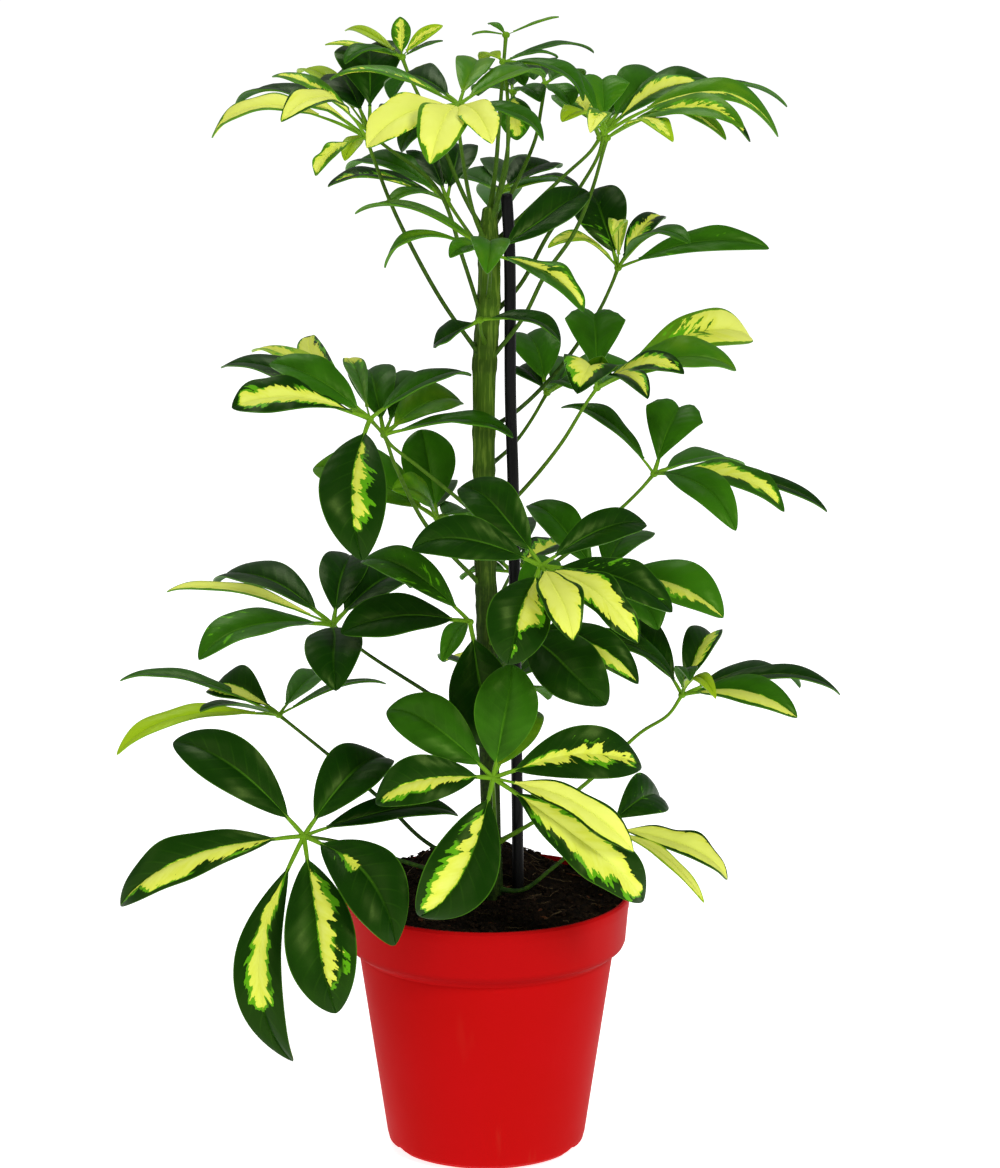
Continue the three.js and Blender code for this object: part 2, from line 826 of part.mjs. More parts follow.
// The wall's inside has the same step as its outside, so the collar is a hollow band.
function potGeometry() {
  const p = POT;
  const ledge = p.stepHeight + p.ledgeRise;
  const outer = [
    [0, 0],
    [p.padRadius, 0],
    [p.padRadius + p.recess, p.recess],
    [p.footRadius - p.footWidth - p.recess, p.recess],
    [p.footRadius - p.footWidth, 0],
    [p.footRadius, 0],
    [p.footRadius + p.heelWidth, p.heelHeight],
    [p.shoulderRadius, p.shoulderHeight],
    [p.stepRadius, p.stepHeight],
    [p.collarFootRadius, p.collarFootHeight],
    [p.rimRadius, p.rimHeight - p.lipRound],
    [p.rimRadius - p.lipInset, p.rimHeight],
  ];
  const inner = [
    [p.rimRadius - p.wall, p.rimHeight],
    [p.rimRadius - p.wall - p.lipInset, p.rimHeight - p.lipRound],
    [p.collarFootRadius - p.wall, p.collarFootHeight + p.ledgeRise],
    [radiusInside(ledge), ledge],
    [radiusInside(p.cornerHeight), p.cornerHeight],
    [p.cornerRadius, p.floorHeight],
    [0, p.floorHeight],
  ];
  const profile = [...outer, ...inner].map(([r, z]) => new THREE.Vector2(r, z));
  const lathe = new THREE.LatheGeometry(profile, p.sides);
  lathe.rotateX(Math.PI / 2);
  let solid = toSolid(lathe);
  for (const bearing of NOTCH.bearings) {
    const notch = new THREE.CylinderGeometry(NOTCH.halfWidth, NOTCH.halfWidth, NOTCH.depth, NOTCH.sides);
    notch.scale(1, 1, NOTCH.height / NOTCH.halfWidth);
    notch.rotateZ(Math.PI / 2);
    notch.translate(p.footRadius + NOTCH.depth / 2 - NOTCH.inset, 0, 0);
    notch.rotateZ(rad(bearing));
    solid = solid.subtract(toSolid(notch));
  }
  for (let hole = 0; hole < DRAIN.count; hole += 1) {
    const drain = new THREE.CylinderGeometry(DRAIN.radius, DRAIN.radius, p.floorHeight * 3, DRAIN.sides);
    drain.rotateX(Math.PI / 2);
    drain.translate(DRAIN.ring, 0, p.floorHeight);
    drain.rotateZ((2 * Math.PI * (hole + DRAIN.firstTurn)) / DRAIN.count);
    solid = solid.subtract(toSolid(drain));
  }
  return toGeometry(solid);
}

// Height of the peat at a place: heaped behind the plant, level at the front, with small lumps.
function soilHeight(x, y) {
  const away = Math.hypot(x - SOIL.heapX, y - SOIL.heapY);
  const edge = 1 - (Math.hypot(x, y) / SOIL.heapEnd) ** SOIL.heapFall;
  const heap = SOIL.heap * edge * Math.exp(-((away / SOIL.heapSpread) ** 2));
  const crossed = Math.sin(x * LUMPS.wide + LUMPS.shift) * Math.cos(y * LUMPS.deep);
  return SOIL.brim + heap + SOIL.lump * (crossed + Math.sin((x + y) * LUMPS.slanting));
}

function soilGeometry() {
  const profile = [
    [SOIL.floorRadius, POT.floorHeight + SOIL.clear],
    [radiusInside(SOIL.cornerHeight) - SOIL.clear, SOIL.cornerHeight],
    [radiusInside(POT.stepHeight) - SOIL.clear, POT.stepHeight],
    [SOIL.collarRadius, SOIL.collarHeight],
    [SOIL.edgeRadius, SOIL.brim - SOIL.edgeDrop],
  ];
  const ringAt = (radius, height) => {
    const ring = [];
    for (let side = 0; side < SOIL.sides; side += 1) {
      const angle = (2 * Math.PI * side) / SOIL.sides;
      const x = radius * Math.cos(angle);
      const y = radius * Math.sin(angle);
      ring.push(new THREE.Vector3(x, y, height(x, y)));
    }
    return ring;
  };
  const rings = profile.map(([radius, z]) => ringAt(radius, () => z));
  for (let ring = SOIL.rings; ring > 0; ring -= 1) {
    rings.push(ringAt((SOIL.topRadius * ring) / SOIL.rings, soilHeight));
  }
  return loft(rings);
}

// The peat, with plain holes where the stem and the stake stand in it.
function soilMesh() {
  const foot = seenAt(...STAKE_LINE[0]);
  const stakeHole = bar(
    [STAKE.tip - GAP, POT.rimHeight + STAKE.holeOver].map((z) => new THREE.Vector3(foot.x, foot.y, z)),
    [STAKE.radius + GAP, STAKE.radius + GAP],
    STAKE.sides,
  );
  const holes = toSolid(stemGeometry(GAP)).add(toSolid(stakeHole));
  return toGeometry(toSolid(soilGeometry()).subtract(holes));
}

// ---------------------------------------------------------------- materials and assembly

const LEAF_GREEN = new THREE.MeshStandardMaterial({ color: 0x2f7a1e, roughness: 0.35, metalness: 0 });
const BARK = new THREE.MeshStandardMaterial({ color: 0x4c7a22, roughness: 0.6, metalness: 0 });
const RED = new THREE.MeshStandardMaterial({ color: 0xc8120f, roughness: 0.42, metalness: 0 });
const PEAT = new THREE.MeshStandardMaterial({ color: 0x17110c, roughness: 0.95, metalness: 0 });
const BLACK = new THREE.MeshStandardMaterial({ color: 0x0b0b0c, roughness: 0.45, metalness: 0 });

const plant = new THREE.Group();
plant.add(named('pot', potGeometry(), RED));
plant.add(named('soil', soilMesh(), PEAT));
plant.add(named('main_stem', toGeometry(toSolid(stemGeometry())), BARK));
plant.add(named('stake', toGeometry(toSolid(stakeGeometry())), BLACK));
const stemClearance = toSolid(stemGeometry(GAP));
for (const leaf of LEAVES) plant.add(leafMesh(leaf, stemClearance));

export default plant;
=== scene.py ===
"""A young umbrella plant with gold-marked leaves, in a red nursery pot of peat, beside a thin black stake."""

import logging
import math
import random
from dataclasses import dataclass
from enum import Enum
from typing import Callable

import bpy
import numpy as np
from mathutils import Matrix, Vector, noise


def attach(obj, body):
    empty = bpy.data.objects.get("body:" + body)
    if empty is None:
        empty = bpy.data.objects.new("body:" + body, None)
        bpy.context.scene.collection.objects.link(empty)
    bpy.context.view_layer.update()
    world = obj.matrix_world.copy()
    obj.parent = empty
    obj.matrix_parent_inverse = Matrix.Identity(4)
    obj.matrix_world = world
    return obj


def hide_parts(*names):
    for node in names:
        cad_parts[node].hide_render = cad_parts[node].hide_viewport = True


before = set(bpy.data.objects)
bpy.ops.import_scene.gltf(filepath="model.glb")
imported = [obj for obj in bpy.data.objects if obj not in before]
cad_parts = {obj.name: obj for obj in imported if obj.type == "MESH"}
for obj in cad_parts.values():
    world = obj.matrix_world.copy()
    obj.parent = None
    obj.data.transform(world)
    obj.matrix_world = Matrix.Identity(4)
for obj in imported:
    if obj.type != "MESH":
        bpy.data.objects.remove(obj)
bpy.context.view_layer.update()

log = logging.getLogger("umbrella_plant")
Colour = tuple[float, float, float]
Place = tuple[float, float, float]
Pair = tuple[float, float]
Piece = bpy.types.Object
Node = bpy.types.Node
Socket = bpy.types.NodeSocket
Sockets = dict[str | int, object]
Material = bpy.types.Material
MM = 0.001
BODY = "root"
UV = "UVMap"
LEAF_SEED = 1000


class Tone(Enum):
    """How dark or fresh the green of a leaflet is."""

    DARK = 0.0
    GREY = 0.2
    MID = 0.28
    BRIGHT = 0.57
    LIME = 1.0


class Mark(Enum):
    """Where the gold lies on a leaflet, as it is seen from the front."""

    PLAIN, FLECKS, CENTRE, FULL, LEFT, RIGHT, UPPER, LOWER, TIP, BASE = range(10)


DARK, GREY, MID, BRIGHT, LIME = Tone
PLAIN, FLECKS, CENTRE, FULL, LEFT, RIGHT, UPPER, LOWER, TIP, BASE = Mark


# ---- the view that places are read in


@dataclass(frozen=True)
class View:
    """The front view, in which places are given as pixels; lengths are in millimetres."""

    x: float = 6.3
    distance: float = 2000.0
    height: float = 721.0
    pitch: float = 12.94
    focal: float = 4604.0
    centre_x: float = 500.0
    centre_y: float = 584.0
    sensor: float = 36.0
    near: float = 50.0
    far: float = 60000.0

    def seen_at(self, px: float, py: float, front: float = 0.0) -> np.ndarray:
        """The point seen at a pixel.

        Args:
            px: pixel column.
            py: pixel row.
            front: how much nearer the viewer than the pot's axis the point lies, in millimetres.

        Returns:
            The point in millimetres.
        """
        pitch = math.radians(self.pitch)
        right, up = (px - self.centre_x) / self.focal, (self.centre_y - py) / self.focal
        cos, sin = math.cos(pitch), math.sin(pitch)
        ray = np.array([right, cos + up * sin, up * cos - sin])
        eye = np.array([self.x, -self.distance, self.height])
        return eye + ray * ((self.distance - front) / ray[1])

    def up_in_picture(self) -> np.ndarray:
        """The direction that is upwards in the picture."""
        pitch = math.radians(self.pitch)
        return np.array([0.0, math.sin(pitch), math.cos(pitch)])

    def make_camera(self) -> None:
        """Stands the camera where the front view is seen from."""
        data = bpy.data.cameras.new("camera")
        data.sensor_fit, data.sensor_width = "AUTO", self.sensor
        data.lens = self.focal * self.sensor / (2 * self.centre_y)
        data.clip_start, data.clip_end = self.near * MM, self.far * MM
        camera = linked("camera", data)
        camera.location = (self.x * MM, -self.distance * MM, self.height * MM)
        camera.rotation_euler = (math.radians(90 - self.pitch), 0.0, 0.0)
        bpy.context.scene.camera = camera


VIEW = View()


# ---- workbench


def linked(name: str, data: bpy.types.ID) -> Piece:
    """A new object in the scene that shows this data.

    Args:
        name: the object's name.
        data: its data.

    Returns:
        The object.
    """
    made = bpy.data.objects.new(name, data)
    bpy.context.scene.collection.objects.link(made)
    return made


def pick(*pieces: Piece) -> None:
    """Selects these pieces and nothing else; the first one is active.

    Args:
        pieces: what is selected.
    """
    bpy.ops.object.select_all(action="DESELECT")
    for piece in pieces:
        piece.select_set(True)
    if pieces:
        bpy.context.view_layer.objects.active = pieces[0]


def started(name: str, primitive: Callable[..., object], **settings: object) -> Piece:
    """Starts a piece from a simple shape.

    Args:
        name: the piece's name.
        primitive: what adds the shape.
        settings: the shape's own values.

    Returns:
        The piece.
    """
    pick()
    primitive(**settings)
    piece = bpy.context.active_object
    piece.name = name
    return piece


def edit(piece: Piece, *steps: Callable[[], object]) -> None:
    """Opens a piece in edit mode with all of it selected, and runs the steps on it.

    Args:
        piece: the piece.
        steps: what is done, in order.
    """
    pick(piece)
    bpy.ops.object.mode_set(mode="EDIT")
    select_all()
    for step in steps:
        step()
    bpy.ops.object.mode_set(mode="OBJECT")


def select_all() -> None:
    """In edit mode, selects the whole piece."""
    bpy.ops.mesh.select_all(action="SELECT")


def drawn_out(move: Place) -> Callable[[], object]:
    """A step for edit mode that draws what is selected out by this much."""
    return lambda: bpy.ops.mesh.extrude_region_move(TRANSFORM_OT_translate={"value": move})


def close_up(gap: float = 1e-6) -> None:
    """In edit mode, merges points that lie together."""
    bpy.ops.mesh.remove_doubles(threshold=gap)


def face_out() -> None:
    """In edit mode, turns every face outwards."""
    bpy.ops.mesh.normals_make_consistent(inside=False)


def lathed(name: str, outline: list[Pair], steps: int, gap: float = 3e-5) -> Piece:
    """A round piece, spun about Z from its outline.

    Args:
        name: the piece's name.
        outline: the radius and the height at each of its bends, in millimetres.
        steps: how many steps the spin has.
        gap: the distance under which points are merged, in metres.

    Returns:
        The piece.
    """
    piece = started(name, bpy.ops.mesh.primitive_plane_add, size=MM)
    edit(
        piece,
        lambda: bpy.ops.mesh.merge(type="CENTER"),
        lambda: bpy.ops.transform.translate(value=(outline[0][0] * MM, 0.0, outline[0][1] * MM)),
        *(drawn_out(((b[0] - a[0]) * MM, 0.0, (b[1] - a[1]) * MM)) for a, b in zip(outline, outline[1:])),
        select_all,
        lambda: bpy.ops.mesh.spin(steps=steps, angle=math.tau, center=(0, 0, 0), axis=(0, 0, 1)),
        select_all,
        lambda: close_up(gap),
        face_out,
    )
    return piece


def fused(name: str, pieces: list[Piece]) -> Piece:
    """Joins pieces into the first of them, which takes this name.

    Args:
        name: the name that the first piece takes.
        pieces: what is joined.

    Returns:
        The first piece.
    """
    pick(*pieces)
    if len(pieces) > 1:
        bpy.ops.object.join()
    pieces[0].name = pieces[0].data.name = name
    return pieces[0]


def finished(piece: Piece, modifier: str, **settings: object) -> None:
    """Adds a modifier to a piece and applies it.

    Args:
        piece: the piece.
        modifier: the kind of modifier.
        settings: the modifier's own values.
    """
    pick(piece)
    added = piece.modifiers.new(modifier.lower(), modifier)
    for key, value in settings.items():
        setattr(added, key, value)
    bpy.ops.object.modifier_apply(modifier=added.name)


def removed(*pieces: Piece) -> None:
    """Takes pieces out of the scene."""
    for piece in pieces:
        bpy.data.objects.remove(piece)


def copy_of(blank: Piece, coordinates: np.ndarray, **values: np.ndarray | float) -> Piece:
    """A copy of a blank with its own mesh, laid out anew.

    Args:
        blank: the piece that is copied.
        coordinates: where each of its points goes, in millimetres.
        values: attributes of the copy's points.

    Returns:
        The copy.
    """
    mesh = blank.data.copy()
    mesh.vertices.foreach_set("co", (coordinates * MM).astype(np.float32).ravel())
    for key, value in values.items():
        attribute = mesh.attributes.new(key, "FLOAT", "POINT")
        attribute.data.foreach_set("value", np.full(len(coordinates), value, np.float32))
    return linked(blank.name + "_copy", mesh)


def points_of(piece: Piece) -> np.ndarray:
    """The points of a piece's mesh.

    Args:
        piece: the piece.

    Returns:
        The points, one a row.
    """
    flat = np.empty(len(piece.data.vertices) * 3, np.float32)
    piece.data.vertices.foreach_get("co", flat)
    return flat.reshape(-1, 3).astype(float)


def set_uv(piece: Piece, across: np.ndarray, along: np.ndarray) -> None:
    """Writes a piece's UV map from two values at each of its points.

    Args:
        piece: the piece.
        across: the first value.
        along: the second value.
    """
    layer = piece.data.uv_layers.get(UV) or piece.data.uv_layers.new(name=UV)
    corners = np.empty(len(piece.data.loops), np.int32)
    piece.data.loops.foreach_get("vertex_index", corners)
    layer.data.foreach_set("uv", np.stack([across[corners], along[corners]], 1).astype(np.float32).ravel())


def dress(piece: Piece, *materials: Material) -> None:
    """Gives a piece these materials, in this order.

    Args:
        piece: the piece.
        materials: its materials.
    """
    piece.data.materials.clear()
    for material in materials:
        piece.data.materials.append(material)


def smooth(piece: Piece, degrees: float) -> None:
    """Shades a piece smooth, with sharp edges where it turns by more than this angle."""
    pick(piece)
    bpy.ops.object.shade_smooth_by_angle(angle=math.radians(degrees))


def keep(piece: Piece, slot: str, *nodes: str) -> None:
    """Puts a finished piece on the plant's body, in place of these solids.

    Args:
        piece: the piece.
        slot: not used.
        nodes: the solids that it replaces.
    """
    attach(piece, BODY)
    if nodes:
        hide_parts(*nodes)
    log.info("%s: %d faces", piece.name, len(piece.data.polygons))


# ---- blanks that are copied


def blade_blank(columns: int = 12, rows: int = 40) -> Piece:
    """A flat leaf blade: across from -1 to 1 in X, and from its base at 0 to its tip at 1 in Y.

    Args:
        columns: how many faces it has across.
        rows: how many it has along.

    Returns:
        The blank.
    """
    blank = started(
        "blade", bpy.ops.mesh.primitive_grid_add, x_subdivisions=columns, y_subdivisions=rows, size=2.0
    )
    edit(
        blank,
        lambda: bpy.ops.transform.resize(value=(1.0, 0.5, 1.0), center_override=(0, 0, 0)),
        lambda: bpy.ops.transform.translate(value=(0.0, 0.5, 0.0)),
    )
    at = points_of(blank)
    x, y = at[:, 0], np.clip(at[:, 1], 0.0, 1.0)
    at[:, 0] = np.sign(x) * np.abs(x) ** 1.2
    at[:, 1] = 0.5 * y + 0.25 * (1 - np.cos(np.pi * y))
    blank.data.vertices.foreach_set("co", at.astype(np.float32).ravel())
    set_uv(blank, at[:, 0] * 0.5 + 0.5, at[:, 1])
    return blank


def bar_blank(name: str, sides: int, rows: int) -> Piece:
    """A straight round bar of radius 1 from 0 to 1 in Z, drawn up ring by ring from a disc.

    Args:
        name: its name.
        sides: how many sides it has.
        rows: how many rings of faces.

    Returns:
        The blank.
    """
    blank = started(name, bpy.ops.mesh.primitive_circle_add, vertices=sides, radius=1.0, fill_type="NGON")
    edit(blank, *[drawn_out((0.0, 0.0, 1.0 / rows))] * rows, select_all, close_up, face_out)
    at = points_of(blank)
    set_uv(blank, np.arctan2(at[:, 1], at[:, 0]) / math.tau + 0.5, at[:, 2])
    return blank


def knob_blank() -> Piece:
    """A ball of radius 1.

    Returns:
        The blank.
    """
    blank = started("knob", bpy.ops.mesh.primitive_uv_sphere_add, segments=14, ring_count=10, radius=1.0)
    at = points_of(blank)
    set_uv(blank, at[:, 0] * 0.5 + 0.5, at[:, 2] * 0.5 + 0.5)
    return blank


def through(places: list[np.ndarray], count: int) -> np.ndarray:
    """This many points, one a row, along a smooth line through places.

    Args:
        places: the places, in order.
        count: how many points.

    Returns:
        The points, one a row.
    """
    ends = [2 * places[0] - places[1], *places, 2 * places[-1] - places[-2]]
    line = []
    for share in np.linspace(0, len(places) - 1, count):
        i = min(int(share), len(places) - 2)
        w = share - i
        a, b, c, d = ends[i : i + 4]
        before, here, after = (math.sqrt(np.linalg.norm(q - p)) for p, q in ((a, b), (b, c), (c, d)))
        leave = ((b - a) / before - (c - a) / (before + here) + (c - b) / here) * here
        arrive = ((c - b) / here - (d - b) / (here + after) + (d - c) / after) * here
        bent = 3 * (c - b) - 2 * leave - arrive, 2 * (b - c) + leave + arrive
        line.append(b + leave * w + bent[0] * w**2 + bent[1] * w**3)
    return np.array(line)


def carried(
    blank: Piece, line: np.ndarray, radii: np.ndarray, ridges: np.ndarray | float = 1.0
) -> np.ndarray:
    """Carries a straight bar on to a line.

    Args:
        blank: the bar, with as many rings as the line has points.
        line: the points of the line.
        radii: the bar's radius at each of them.
        ridges: the share of the radius at each of the bar's points, where it isn't round.

    Returns:
        The bar's points along the line.
    """
    tangents = np.gradient(line, axis=0)
    tangents /= np.linalg.norm(tangents, axis=1, keepdims=True)
    first = np.cross(tangents[0], [0.3, 0.9, 0.2])
    normal = first / np.linalg.norm(first)
    normals = []
    for tangent in tangents:
        normal = normal - tangent * (normal @ tangent)
        normal = normal / np.linalg.norm(normal)
        normals.append(normal)
    normals = np.array(normals)
    others = np.cross(tangents, normals)
    at = points_of(blank)
    ring = np.rint(at[:, 2] * (len(line) - 1)).astype(int)
    radius = (radii[ring] * ridges)[:, None]
    return line[ring] + radius * (at[:, :1] * normals[ring] + at[:, 1:2] * others[ring])


# ---- finishes


class Graph:
    """Wires the nodes of one material."""

    def __init__(self, name: str) -> None:
        """Starts a material with a plain surface.

        Args:
            name: the material's name.
        """
        self.material = bpy.data.materials.new(name)
        self.material.use_nodes = True
        self.tree = self.material.node_tree
        self.surface = self.tree.nodes["Principled BSDF"]

    def feed(self, socket: Socket, value: object) -> None:
        """Links a socket to another, or sets its own value.

        Args:
            socket: what is fed.
            value: the other socket, or the value.
        """
        if isinstance(value, Socket):
            self.tree.links.new(value, socket)
        elif socket.type == "RGBA":
            socket.default_value = (*value, 1.0)
        else:
            socket.default_value = value

    def node(self, kind: str, *values: object, named: Sockets | None = None, **settings: object) -> Node:
        """Adds a node.

        Args:
            kind: the kind of node.
            values: what goes into its first sockets.
            named: what goes into sockets by their name or number.
            settings: the node's own settings.

        Returns:
            The node.
        """
        added = self.tree.nodes.new("ShaderNode" + kind)
        for key, value in settings.items():
            setattr(added, key, value)
        for key, value in (named or dict(enumerate(values))).items():
            self.feed(added.inputs[key], value)
        return added

    def calc(self, operation: str, *values: object, clamp: bool = False) -> Socket:
        """A sum on up to three values."""
        return self.node("Math", *values, operation=operation, use_clamp=clamp).outputs[0]

    def times(self, first: object, second: object) -> Socket:
        """One value times another."""
        return self.calc("MULTIPLY", first, second)

    def raised(self, base: object, value: object, share: float, clamp: bool = False) -> Socket:
        """A base value plus a share of another."""
        return self.calc("MULTIPLY_ADD", value, share, base, clamp=clamp)

    def varied(self, base: object, cloud: Socket, share: float, clamp: bool = False) -> Socket:
        """A base value that goes up and down by a share of a cloud, which is 0.5 in its middle."""
        return self.raised(base, self.calc("SUBTRACT", cloud, 0.5), share, clamp)

    def mix(self, share: object, first: object, second: object) -> Socket:
        """A colour between two."""
        return self.node("Mix", named={0: share, 6: first, 7: second}, data_type="RGBA").outputs[2]

    def step(self, value: Socket, low: float, high: float, first: float = 0.0, last: float = 1.0) -> Socket:
        """A soft step from one value to another as the input goes from low to high."""
        span = (value, low, high, first, last)
        return self.node("MapRange", *span, interpolation_type="SMOOTHSTEP").outputs[0]

    def cloud(self, where: Socket, scale: float, detail: float = 2.0, roughness: float = 0.5) -> Socket:
        """Cloudy variation between 0 and 1."""
        named = {"Vector": where, "Scale": scale, "Detail": detail, "Roughness": roughness}
        return self.node("TexNoise", named=named).outputs[0]

    def value(self, name: str) -> Socket:
        """An attribute of the piece's points."""
        return self.node("Attribute", attribute_name=name).outputs["Fac"]

    def place(self) -> Socket:
        """The place on the plant, in metres."""
        return self.node("TexCoord").outputs["Object"]

    def joined(self, *values: object) -> Socket:
        """Three numbers as one place."""
        return self.node("CombineXYZ", *values).outputs[0]

    def split(self, where: Socket) -> bpy.types.NodeOutputs:
        """The three numbers of a place."""
        return self.node("SeparateXYZ", where).outputs

    def relief(self, height: Socket, strength: float, depth: float) -> None:
        """Raises the surface by a height, in metres at its fullest."""
        bump = self.node("Bump", named={"Strength": strength, "Distance": depth, "Height": height})
        self.feed(self.surface.inputs["Normal"], bump.outputs[0])

    def done(self, colour: object, roughness: object, gloss: float, **sockets: object) -> Material:
        """Sets the surface's own sockets.

        Args:
            colour: its colour.
            roughness: its roughness.
            gloss: how much it mirrors.
            sockets: its other sockets, where an underscore stands for a space in a name.

        Returns:
            The material.
        """
        sockets |= {"Base Color": colour, "Roughness": roughness, "Specular IOR Level": gloss}
        for key, value in sockets.items():
            self.feed(self.surface.inputs[key.replace("_", " ")], value)
        return self.material


@dataclass(frozen=True)
class LeafFinish:
    """Leaf blade: greens, gold with jagged edges along the side veins, and a pale midrib."""

    greens: tuple[Colour, ...] = ((0.004, 0.031, 0.0011), (0.038, 0.165, 0.0045), (0.34, 0.52, 0.012))
    under_greens: tuple[Colour, ...] = ((0.022, 0.095, 0.008), (0.07, 0.21, 0.015), (0.30, 0.45, 0.03))
    patch: Colour = (0.10, 0.36, 0.006)
    gold: Colour = (0.72, 0.78, 0.075)
    pale: Colour = (0.80, 0.86, 0.17)
    rib: Colour = (0.085, 0.26, 0.012)
    sheen: Colour = (0.6, 0.9, 0.2)
    vein_slant: float = 0.2
    veins: float = 9.0
    rough: float = 0.3
    under_rough: float = 0.5
    gloss: float = 0.2
    under_gloss: float = 0.1

    def material(self, under: bool) -> Material:
        """The blade's upper or lower face.

        Args:
            under: whether it is the lower face, which is duller and paler.

        Returns:
            The material.
        """
        g = Graph("leaf_underside" if under else "leaf_face")
        uv = g.split(g.node("UVMap", uv_map=UV).outputs[0])
        signed = g.raised(-1.0, uv[0], 2.0)
        across = g.calc("ABSOLUTE", signed)
        along = g.raised(uv[1], across, -self.vein_slant)
        seed = g.value("seed")
        streaks = g.cloud(g.joined(g.times(along, 15.0), g.times(signed, 1.3), seed), 1.0, 3.0, 0.6)
        blots = g.cloud(g.joined(g.times(uv[1], 3.4), g.times(signed, 1.2), seed), 1.0)
        fine = g.cloud(g.place(), 900.0)
        # the gold ends where this field is nought, so the clouds give it its jagged edge
        field = g.value("gold")
        for cloud, share in ((streaks, 1.25), (blots, 0.7), (fine, 0.12)):
            field = g.varied(field, cloud, share)
        is_gold = g.step(field, 0.0, 0.035)
        is_patch = g.times(g.step(field, -0.2, -0.16), g.step(blots, 0.42, 0.5))
        tone = g.varied(g.value("tone"), blots, 0.3, clamp=True)
        dark, middle, lime = self.under_greens if under else self.greens
        green = g.mix(g.step(tone, 0.5, 1.0), g.mix(g.step(tone, 0.0, 0.5), dark, middle), lime)
        near_rib = g.step(across, 0.02, 0.07, 1.0, 0.0)
        wave = g.calc("SINE", g.times(along, math.tau * self.veins))
        for share, colour in (
            (is_patch, self.patch),
            (g.times(near_rib, g.step(uv[1], 0.0, 0.8, 0.9, 0.1)), self.rib),
            (g.step(across, 0.955, 0.985, 0.0, 0.45), self.rib),
            (g.times(g.step(wave, 0.86, 1.0), g.step(across, 0.2, 0.9, 0.06, 0.0)), self.rib),
        ):
            green = g.mix(share, green, colour)
        gold = g.mix(g.step(field, 0.0, 0.5), self.gold, self.pale)
        gold = g.mix(g.times(g.cloud(g.place(), 150.0), 0.5), gold, self.gold)
        g.relief(g.raised(g.raised(g.times(fine, 0.25), wave, 0.5), near_rib, -1.0), 0.35, 0.00016)
        rough, gloss = (self.under_rough, self.under_gloss) if under else (self.rough, self.gloss)
        rough = g.raised(g.raised(rough, fine, 0.12), is_gold, 0.1)
        return g.done(g.mix(is_gold, green, gold), rough, gloss, Specular_Tint=self.sheen)


@dataclass(frozen=True)
class StalkFinish:
    """Leaf stalks: lime by the leaflets and greener towards the stem."""

    fresh: Colour = (0.16, 0.35, 0.011)
    old: Colour = (0.014, 0.04, 0.006)
    rough: float = 0.5
    gloss: float = 0.08

    def material(self) -> Material:
        """The stalks' material.

        Returns:
            The material.
        """
        g = Graph("leaf_stalk")
        grain = g.cloud(g.place(), 420.0, 3.0)
        g.relief(grain, 0.3, 0.0002)
        share = g.varied(g.value("tone"), grain, 0.5, clamp=True)
        return g.done(g.mix(share, self.old, self.fresh), self.rough, self.gloss)


@dataclass(frozen=True)
class BarkFinish:
    """Main stem: green skin with paler ridges, corkier low down, and painted shade that makes the low part
    darker under the leaves.
    """

    skin: Colour = (0.052, 0.12, 0.006)
    ridge: Colour = (0.135, 0.235, 0.022)
    cork_and_shade: Colour = (0.006, 0.012, 0.004)
    corky_and_shaded: Pair = (0.2, 0.37)
    rough: float = 0.6
    gloss: float = 0.06

    def material(self) -> Material:
        """The stem's material.

        Returns:
            The material.
        """
        g = Graph("stem_bark")
        place = g.split(g.place())
        stretched = g.joined(*(g.times(axis, scale) for axis, scale in zip(place, (900.0, 900.0, 55.0))))
        lines = g.cloud(stretched, 1.0, 3.0, 0.6)
        spots = g.cloud(g.place(), 480.0, 3.0, 0.6)
        colour = g.mix(g.step(lines, 0.46, 0.66), self.skin, self.ridge)
        # partly real cork, partly painted shade: the cork reaches further up and is darker than bark alone,
        # so the low stem reads as shaded under the leaves
        low = g.step(place[2], *self.corky_and_shaded, 0.95, 0.0)
        colour = g.mix(g.times(low, g.step(spots, 0.3, 0.6, 1.0, 0.75)), colour, self.cork_and_shade)
        colour = g.mix(g.times(g.value("scar"), 0.3), colour, self.cork_and_shade)
        g.relief(g.raised(g.times(spots, 0.5), lines, 1.0), 0.6, 0.0005)
        return g.done(colour, self.rough, self.gloss)


@dataclass(frozen=True)
class PotFinish:
    """Thin moulded red plastic with a faint mottle, scuffs and dust low down, and painted shade in the ledge
    under the collar and over the collar.
    """

    red: Colour = (0.47, 0.0042, 0.0042)
    deep: Colour = (0.48, 0.004, 0.005)
    dust: Colour = (0.46, 0.03, 0.015)
    shade: Colour = (0.24, 0.002, 0.003)
    sheen: Colour = (1.0, 0.36, 0.2)
    painted_shade_from: Pair = (0.0895, 0.0945)
    painted_shade_to: Pair = (0.0955, 0.0985)
    rough: float = 0.42
    gloss: float = 0.025

    def material(self) -> Material:
        """The pot's material.

        Returns:
            The material.
        """
        g = Graph("red_plastic")
        x, y, z = g.split(g.place())
        mottle = g.cloud(g.place(), 26.0, 4.0, 0.55)
        grain = g.cloud(g.place(), 1400.0)
        streaks = g.cloud(g.joined(x, y, g.times(z, 0.12)), 160.0, 3.0)
        colour = g.mix(g.step(mottle, 0.35, 0.7), self.deep, self.red)
        scuff = g.times(g.step(streaks, 0.62, 0.8), g.step(z, 0.0, 0.05, 0.5, 0.12))
        # painted shade: a dark line in the ledge under the collar, and the collar a little darker above it
        painted_shade = g.times(g.step(z, *self.painted_shade_from, 0.0, 0.6), g.step(z, *self.painted_shade_to, 1.0, 0.35))
        colour = g.mix(painted_shade, g.mix(scuff, colour, self.dust), self.shade)
        g.relief(g.raised(g.times(grain, 0.3), mottle, 1.0), 0.25, 0.0003)
        return g.done(colour, g.raised(self.rough, mottle, 0.2), self.gloss, Specular_Tint=self.sheen)


